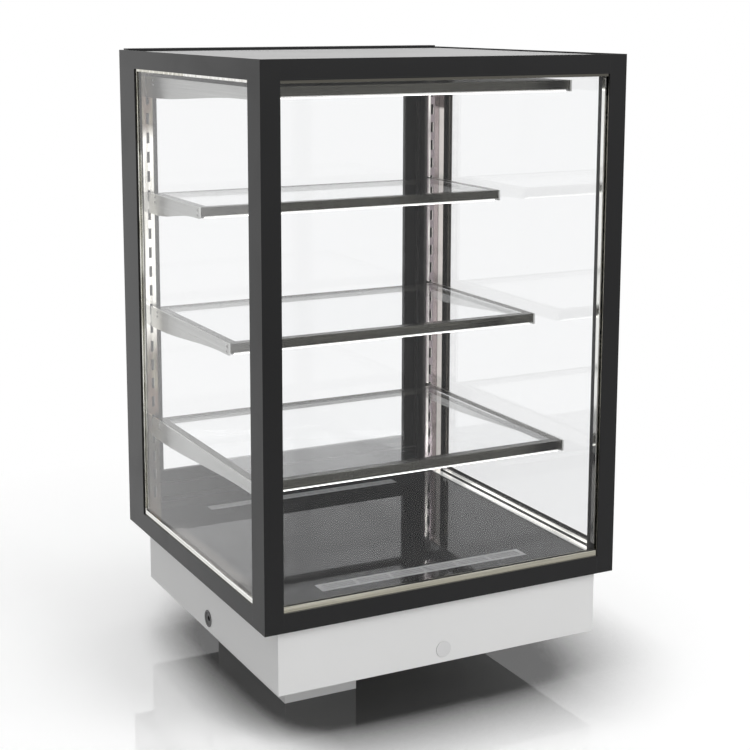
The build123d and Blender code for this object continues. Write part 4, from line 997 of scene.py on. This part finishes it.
def addPostStrip(mesh, side, opts):
    front, rear = opts["span"]
    bottom, top = opts["rise"]
    turn, shoulder, thin = opts["round"], opts["shoulder"], opts["endThick"]
    section = [(0.0, front), (shoulder, front + 0.2 * turn), (1.0, front + turn),
               (1.0, rear - turn), (shoulder, rear - 0.2 * turn), (0.0, rear)]
    loops = []
    for z, share in ((bottom, thin), (bottom + turn, 1.0), (top - turn, 1.0), (top, thin)):
        loops.append([
            mesh.verts.new((side * (opts["face"] - out * share * opts["thick"]), y, z))
            for out, y in section
        ])
    skinLoops(mesh, loops)


mesh = bmesh.new()
for side in (-1, 1):
    addPostStrip(mesh, side, stripSet)
meshPiece("post_strips", mesh, "stripSteel", caseBody)
print("post strips made")

# Screws of the control box lid
lidScrewSet = {"radius": 2.6 * mm, "inset": 9.0 * mm}
mesh = bmesh.new()
low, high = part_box("control_box_lid")
inset = lidScrewSet["inset"]
for y in (low.y + inset, (low.y + high.y) / 2, high.y - inset):
    for z in (low.z + inset, high.z - inset):
        addScrew(mesh, (high.x, y, z), (1, 0, 0), lidScrewSet["radius"])
meshPiece("lid_screws", mesh, "screwSteel", caseBody)

# Screws of the fan, its baffle's foot and the probe's clip
fanScrewSet = {
    "fan": 3.2 * mm, "fanInset": 5.0 * mm, "clip": 1.8 * mm,
    "foot": 2.4 * mm, "footShares": (0.9, 0.45), "footPlace": (6 * mm, 1.5 * mm),
}
mesh = bmesh.new()
low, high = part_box("fan_housing")
inset = fanScrewSet["fanInset"]
for x in (low.x + inset, high.x - inset):
    for z in (low.z + inset, high.z - inset):
        addScrew(mesh, (x, high.y, z), (0, 1, 0), fanScrewSet["fan"])
low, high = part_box("fan_baffle")
back, rise = fanScrewSet["footPlace"]
for end in (low.x, high.x):
    for share in fanScrewSet["footShares"]:
        addScrew(mesh, (share * end, high.y - back, low.z + rise), (0, 0, 1), fanScrewSet["foot"])
low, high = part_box("temperature_probe")
clipPlace = ((low.x + high.x) / 2, high.y, (low.z + high.z) / 2)
addScrew(mesh, clipPlace, (0, 1, 0), fanScrewSet["clip"])
meshPiece("fan_screws", mesh, "screwSteel", caseBody)

# Rubber grommet in the open cable entry on the left: its rings' radius and height in millimetres
grommetSet = {
    "place": (-8 * mm, -79 * mm),
    "rings": (
        (11.2, -1.6), (11.2, 0.0), (13.4, 0.0), (13.7, 0.5), (13.3, 1.2), (12.0, 1.5), (10.4, 1.1),
        (9.8, 0.1), (9.0, -0.5), (6.8, -0.8), (6.2, -0.5), (4.4, -0.6), (4.1, -1.2), (4.3, -1.6),
    ),
}
mesh = bmesh.new()
place = (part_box("plinth")[0].x, *grommetSet["place"])
turnRings(mesh, place, (-1, 0, 0), inMillimetres(grommetSet["rings"]), count=48)
meshPiece("entry_grommet", mesh, "greyRubber", caseBody)

# Door fittings: screws of the hinge leaves, caps of the hinge pins, collars of the handle. Rings
# are given by radius and height in millimetres.
hingeSet = {
    "bottoms": (110 * mm, 700 * mm), "length": 72 * mm, "leafThick": 2 * mm, "leafWide": 30 * mm,
    "screw": 2.6 * mm, "screwShares": ((0.16, 0.3), (0.5, 0.68), (0.84, 0.3)),
    "pinRings": ((3.3, 0.0), (3.3, 0.5), (2.805, 1.1), (1.65, 1.5), (0.33, 1.65)),
}
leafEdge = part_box("door_hinges")[0].x
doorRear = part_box("door_frame")[1].y
mesh = bmesh.new()
for bottom in hingeSet["bottoms"]:
    for up, across in hingeSet["screwShares"]:
        place = (leafEdge + across * hingeSet["leafWide"], doorRear + hingeSet["leafThick"],
                 bottom + up * hingeSet["length"])
        addScrew(mesh, place, (0, 1, 0), hingeSet["screw"])
meshPiece("leaf_screws", mesh, "screwSteel", "door")
barrel = Vector(next(j for j in frame["joints"] if j["name"] == "door_hinge")["pos_m"])
mesh = bmesh.new()
for bottom in hingeSet["bottoms"]:
    for z, up in ((bottom, -1), (bottom + hingeSet["length"], 1)):
        turnRings(mesh, (barrel.x, barrel.y, z), (0, 0, up), inMillimetres(hingeSet["pinRings"]))
meshPiece("hinge_pin_caps", mesh, "handleSteel", caseBody)
handleSet = {
    "posts": (335 * mm, 505 * mm),
    "rings": (
        (8.5, 0.0), (8.5, 1.32), (7.905, 2.04), (6.8, 2.4), (5.2, 2.4), (4.7, 3.24), (4.55, 3.36),
    ),
}
low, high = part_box("door_handle")
mesh = bmesh.new()
for z in handleSet["posts"]:
    place = ((low.x + high.x) / 2, doorRear, z)
    turnRings(mesh, place, (0, 1, 0), inMillimetres(handleSet["rings"]), count=48)
meshPiece("handle_collars", mesh, "handleSteel", "door")

# Plugs in the open ends of the glass grooves, at the top and bottom of the door's stiles
stilePlugSet = {
    "across": (27.1 * mm, 34.9 * mm), "behind": (-13.9 * mm, -8.1 * mm), "deep": 5 * mm,
    "round": 0.5 * mm,
    "corners": ((-1, -1, 0, 1), (-1, -1, 1, 0), (1, -1, 1, 0), (1, -1, 0, 1),
                (1, 1, 0, 1), (1, 1, 1, 0), (-1, 1, 1, 0), (-1, 1, 0, 1)),
}


def addStilePlug(mesh, side, end, inward, opts):
    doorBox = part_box("door_frame")
    near, far = (side * (doorBox[1].x - inset) for inset in opts["across"])
    front, rear = (doorBox[1].y + offset for offset in opts["behind"])
    turn = opts["round"]
    loops = []
    for depth, cut in ((opts["deep"], 0.0), (turn, 0.0), (0.3 * turn, 0.3 * turn), (0.0, turn)):
        wide, long = abs(near - far) / 2 - cut, (rear - front) / 2 - cut
        loops.append([
            mesh.verts.new(((near + far) / 2 + i * (wide - a * turn),
                            (front + rear) / 2 + j * (long - b * turn), end + inward * depth))
            for i, j, a, b in opts["corners"]
        ])
    skinLoops(mesh, loops)


low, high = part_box("door_frame")
mesh = bmesh.new()
for side in (-1, 1):
    for end, inward in ((high.z, -1), (low.z, 1)):
        addStilePlug(mesh, side, end, inward, stilePlugSet)
meshPiece("stile_plugs", mesh, "blackPlastic", "door")
print("screws and door fittings made")

# Door gasket: a formed strip with a magnet bar, mitred at its corners. Its section is given as
# offset from its middle line and depth, in millimetres.
gasketSet = {
    "halfWide": 3.0,
    "section": (
        (-3.0, 0.42), (-2.75, 0.06), (-1.7, 0.0), (-1.35, 0.3), (-1.0, 0.02), (1.0, 0.02),
        (1.35, 0.3), (1.7, 0.0), (2.75, 0.06), (3.0, 0.42), (2.2, 0.85), (2.75, 1.2), (2.6, 1.7),
        (-2.6, 1.7), (-2.75, 1.2), (-2.2, 0.85),
    ),
}
low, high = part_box("door_gasket")
mesh = bmesh.new()
loops = []
for sideX, sideZ in ((-1, -1), (1, -1), (1, 1), (-1, 1)):
    loop = []
    for offset, depth in gasketSet["section"]:
        reach = (gasketSet["halfWide"] - offset) * mm
        x = (high.x if sideX > 0 else low.x) - sideX * reach
        z = (high.z if sideZ > 0 else low.z) - sideZ * reach
        loop.append(mesh.verts.new((x, low.y + depth * mm, z)))
    loops.append(loop)
skinLoops(mesh, loops, joined=True)
meshPiece("door_seal", mesh, "sealRubber", "door", ["door_gasket"])

# Insulation mat: a soft-edged felt with holes for the element's ends, its top a little uneven
matSet = {
    "cell": 6 * mm, "edge": 3 * mm, "edgeDrop": 1.4 * mm, "hole": 8 * mm, "holeInset": 6 * mm,
    "rise": 0.9 * mm, "sink": 0.25 * mm, "waves": 30,
}


def makeMat(opts):
    low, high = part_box("insulation_mat")
    near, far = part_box("heating_element")
    inset = opts["holeInset"]
    ends = [Vector((near.x + inset, y, 0)) for y in (near.y + inset, far.y - inset)]
    columns = round((high.x - low.x) / opts["cell"])
    rows = round((high.y - low.y) / opts["cell"])

    def spotAt(i, j):
        return low.x + (high.x - low.x) * i / columns, low.y + (high.y - low.y) * j / rows

    def heightAt(x, y, top):
        if not top:
            return low.z + opts["sink"]
        rim = min(1.0, min(x - low.x, high.x - x, y - low.y, high.y - y) / opts["edge"])
        wave = noise.noise(Vector((x * opts["waves"], y * opts["waves"], 3.1)))
        return high.z - opts["rise"] * (0.5 + 0.5 * wave) * rim - (1 - rim) * opts["edgeDrop"]

    mesh = bmesh.new()
    bottom, top = (
        [[mesh.verts.new((*spotAt(i, j), heightAt(*spotAt(i, j), isTop))) for j in range(rows + 1)]
         for i in range(columns + 1)]
        for isTop in (False, True)
    )
    filled = set()
    for i in range(columns):
        for j in range(rows):
            middle = Vector((*spotAt(i + 0.5, j + 0.5), 0))
            if all((middle - end).length > opts["hole"] for end in ends):
                filled.add((i, j))
    for i, j in filled:
        for grid in (bottom, top):
            mesh.faces.new((grid[i][j], grid[i + 1][j], grid[i + 1][j + 1], grid[i][j + 1]))
        corners = ((i, j), (i + 1, j), (i + 1, j + 1), (i, j + 1))
        besides = ((i, j - 1), (i + 1, j), (i, j + 1), (i - 1, j))
        for a, b, beside in zip(corners, corners[1:] + corners[:1], besides):
            if beside not in filled:
                mesh.faces.new((bottom[a[0]][a[1]], bottom[b[0]][b[1]],
                                top[b[0]][b[1]], top[a[0]][a[1]]))
    loose = [vert for vert in mesh.verts if not vert.link_faces]
    bmesh.ops.delete(mesh, geom=loose, context="VERTS")
    meshPiece("felt_mat", mesh, "insulationFelt", caseBody, ["insulation_mat"])


makeMat(matSet)
print("soft strips made")

# Marks: lit digits on the display, symbols on the keys, on and off marks on the rockers
digitSet = {
    "height": 11.5 * mm, "width": 6.2 * mm, "stroke": 1.25 * mm, "pitch": 9.6 * mm, "lean": 0.08,
    "thick": 0.12 * mm, "gap": 0.16 * mm, "shift": 2.5 * mm, "shown": ("6", "5"),
    "degree": (0.75 * mm, 1.3 * mm), "degreePlace": (1.0 * mm, 1.1 * mm),
}
segmentsOf = {"5": "afgcd", "6": "afgecd"}
markSet = {
    "thick": 0.05 * mm, "count": 36,
    "arrow": ((-1.5, -0.9), (1.5, -0.9), (0.0, 1.3)),
    "ring": (0.85 * mm, 1.25 * mm),
    "onPlace": 4.4 * mm, "onLength": 3.6 * mm, "onRows": 6,
    "onSection": ((-0.45, 0), (-0.4, 1), (0.4, 1), (0.45, 0)),
    "offPlace": 4.6 * mm, "offSection": ((1.85, 0), (1.8, 1), (1.2, 1), (1.15, 0)),
}


def addPlate(mesh, outline, thick):
    # A thin plate that faces the rear
    skinLoops(mesh, [
        [mesh.verts.new(point + Vector((0, lift, 0))) for point in outline] for lift in (0, thick)
    ])


def addRing(mesh, middle, radii, thick):
    inner, outer = radii
    loops = []
    for radius, lift in ((outer, 0.0), (outer, thick), (inner, thick), (inner, 0.0)):
        spots = [
            Vector((math.cos(angle) * radius, lift, math.sin(angle) * radius))
            for angle in anglesAround(markSet["count"])
        ]
        loops.append([mesh.verts.new(middle + spot) for spot in spots])
    skinLoops(mesh, loops, joined=True)


def rearMiddle(name):
    low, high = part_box(name)
    return Vector(((low.x + high.x) / 2, high.y, (low.z + high.z) / 2))


def addDigits(opts):
    centre = rearMiddle("controller_display") + Vector((opts["shift"], 0, 0))
    right, top, half, gap = opts["width"] / 2, opts["height"] / 2, opts["stroke"] / 2, opts["gap"]
    bars = {
        "a": ((-right, top), (right, top)), "g": ((-right, 0), (right, 0)),
        "d": ((-right, -top), (right, -top)), "f": ((-right, 0), (-right, top)),
        "e": ((-right, -top), (-right, 0)), "c": ((right, -top), (right, 0)),
    }
    mesh = bmesh.new()
    for number, digit in enumerate(opts["shown"]):
        shift = (number - 0.5) * opts["pitch"]
        for bar in segmentsOf[digit]:
            start, end = (Vector(p) for p in bars[bar])
            run = (end - start).normalized()
            flank = Vector((-run.y, run.x)) * half
            start, end = start + run * gap, end - run * gap
            corners = [start, start + run * half + flank, end - run * half + flank, end,
                       end - run * half - flank, start + run * half - flank]
            outline = [
                centre + Vector((-(p.x + shift + p.y * opts["lean"]), 0, p.y)) for p in corners
            ]
            addPlate(mesh, outline, opts["thick"])
    aside, drop = opts["degreePlace"]
    degree = centre + Vector((-(opts["pitch"] + aside), 0, top - drop))
    addRing(mesh, degree, opts["degree"], opts["thick"])
    meshPiece("display_digits", mesh, "digitGlow", caseBody)


def addKeyMarks(opts):
    for key, kind in (("key_up", 1), ("key_set", 0), ("key_down", -1)):
        middle = rearMiddle(key)
        mesh = bmesh.new()
        if kind:
            outline = [middle + Vector((x * mm, 0, z * kind * mm)) for x, z in opts["arrow"]]
            addPlate(mesh, outline, opts["thick"])
        else:
            addRing(mesh, middle, opts["ring"], opts["thick"])
        meshPiece(f"{key}_mark", mesh, "markPrint", key)


def addRockerMarks(rocker, opts):
    # An on bar and an off ring that lie on the rocker's curved face
    low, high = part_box(rocker)
    surface = BVHTree.FromObject(frame["nodes"][rocker], bpy.context.evaluated_depsgraph_get())
    centre = (low.x + high.x) / 2
    mesh = bmesh.new()

    def onFace(x, z, raised):
        start = Vector((x, high.y + 10 * mm, z))
        spot, normal = surface.ray_cast(start, Vector((0, -1, 0)))[:2]
        return mesh.verts.new(spot + normal * raised * opts["thick"])

    lines = []
    for row in range(opts["onRows"] + 1):
        z = high.z - opts["onPlace"] + (row / opts["onRows"] - 0.5) * opts["onLength"]
        lines.append([onFace(centre + x * mm, z, raised) for x, raised in opts["onSection"]])
    skinLoops(mesh, lines, around=False)
    middle = low.z + opts["offPlace"]
    loops = []
    for radius, raised in opts["offSection"]:
        reach = radius * mm
        loops.append([
            onFace(centre + math.cos(angle) * reach, middle + math.sin(angle) * reach, raised)
            for angle in anglesAround(opts["count"])
        ])
    skinLoops(mesh, loops, joined=True)
    meshPiece(f"{rocker}_marks", mesh, "markPrint", rocker)


addDigits(digitSet)
addKeyMarks(markSet)
for rocker in ("mains_rocker", "light_rocker"):
    addRockerMarks(rocker, markSet)
print("marks made")

# Stage: a pale floor, a white world and soft lamps
stageSet = {
    "floorSize": 16.0,
    "floorHeight": cadBox[0].z,
    "floorColour": grey(0.70),
    "floorNear": grey(1.32),
    "fade": (0.45, 1.3),            # reach over which the floor fades to white
    "shadeReach": 0.28,
    "shadeSpan": (0.42, 0.86),
    "deepest": 0.02,
    "leftEase": ((-0.18, -0.40), 0.34),
    "rightDeepening": ((0.05, 0.30), 0.07),
    "gloss": 0.14,
    "glossRoughness": 0.03,
    "ambient": 0.5,
}


def backgroundRay(tree):
    # 1 for the rays that show the background: straight, in a reflection, or through glass
    path = makeNode(tree, "ShaderNodeLightPath").outputs
    seen = calc(tree, "MAXIMUM", path["Is Camera Ray"], path["Is Glossy Ray"])
    return calc(tree, "MAXIMUM", seen, path["Is Transmission Ray"])


def floorShade(tree, opts):
    # Contact shade of the floor, lighter towards the left and deeper towards the right
    reach = {"Distance": opts["shadeReach"]}
    shade = makeNode(tree, "ShaderNodeAmbientOcclusion", reach, samples=32).outputs["AO"]
    aside = split(tree, objectPoint(tree))["X"]
    for side, operation in (("leftEase", "ADD"), ("rightDeepening", "SUBTRACT")):
        span, most = opts[side]
        shade = calc(tree, operation, shade, remap(tree, aside, *span, 0.0, most))
    return remap(tree, shade, *opts["shadeSpan"], opts["deepest"], 1.0)


def addFloor(opts):
    mesh = bpy.data.meshes.new("floor")
    half = opts["floorSize"] / 2
    corners = [
        (x * half, y * half, opts["floorHeight"]) for x, y in ((-1, -1), (1, -1), (1, 1), (-1, 1))
    ]
    mesh.from_pydata(corners, [], [(0, 1, 2, 3)])
    floor = bpy.data.objects.new("floor", mesh)
    scene.collection.objects.link(floor)
    mat = bpy.data.materials.new("paleFloor")
    tree, surface = emptyTree(mat, "ShaderNodeOutputMaterial")
    seen = backgroundRay(tree)
    reach = makeNode(tree, "ShaderNodeVectorMath", {0: objectPoint(tree)}, operation="LENGTH")
    far = remap(tree, reach.outputs["Value"], *opts["fade"])
    pale = mixColour(tree, 1.0, opts["floorNear"], floorShade(tree, opts), blend="MULTIPLY")
    colour = mixColour(tree, seen, opts["floorColour"], pale)
    matt = makeNode(tree, "ShaderNodeBsdfDiffuse", {"Color": colour}).outputs[0]
    shiny = {"Color": white, "Roughness": opts["glossRoughness"]}
    shine = makeNode(tree, "ShaderNodeBsdfGlossy", shiny).outputs[0]
    near = mixShader(tree, opts["gloss"], matt, shine)
    plain = makeNode(tree, "ShaderNodeEmission", {"Color": white, "Strength": 1.0}).outputs[0]
    tree.links.new(mixShader(tree, times(tree, far, seen), near, plain), surface)
    mesh.materials.append(mat)


def addWorld(opts):
    world = bpy.data.worlds.new("whiteRoom")
    scene.world = world
    tree, surface = emptyTree(world, "ShaderNodeOutputWorld")
    strength = remap(tree, backgroundRay(tree), 0.0, 1.0, opts["ambient"], 1.0)
    light = makeNode(tree, "ShaderNodeBackground", {"Color": white, "Strength": strength})
    tree.links.new(light.outputs[0], surface)


lampSet = {
    "keyLamp": {"place": (1.6, -3.2, 2.4), "aim": (0.0, 0.0, 0.3), "size": 2.2, "power": 62.0},
    "topLamp": {"place": (-0.3, 0.4, 3.4), "aim": (0.0, 0.0, 0.6), "size": 2.0, "power": 22.0},
}


def addLamp(name, opts):
    data = bpy.data.lights.new(name, "AREA")
    data.shape = "SQUARE"
    data.size = opts["size"]
    data.energy = opts["power"]
    lamp = bpy.data.objects.new(name, data)
    lamp.location = opts["place"]
    aim = Vector(opts["aim"]) - Vector(opts["place"])
    lamp.rotation_euler = aim.to_track_quat("-Z", "Y").to_euler()
    scene.collection.objects.link(lamp)


addFloor(stageSet)
addWorld(stageSet)
for name, opts in lampSet.items():
    addLamp(name, opts)
print("stage set")
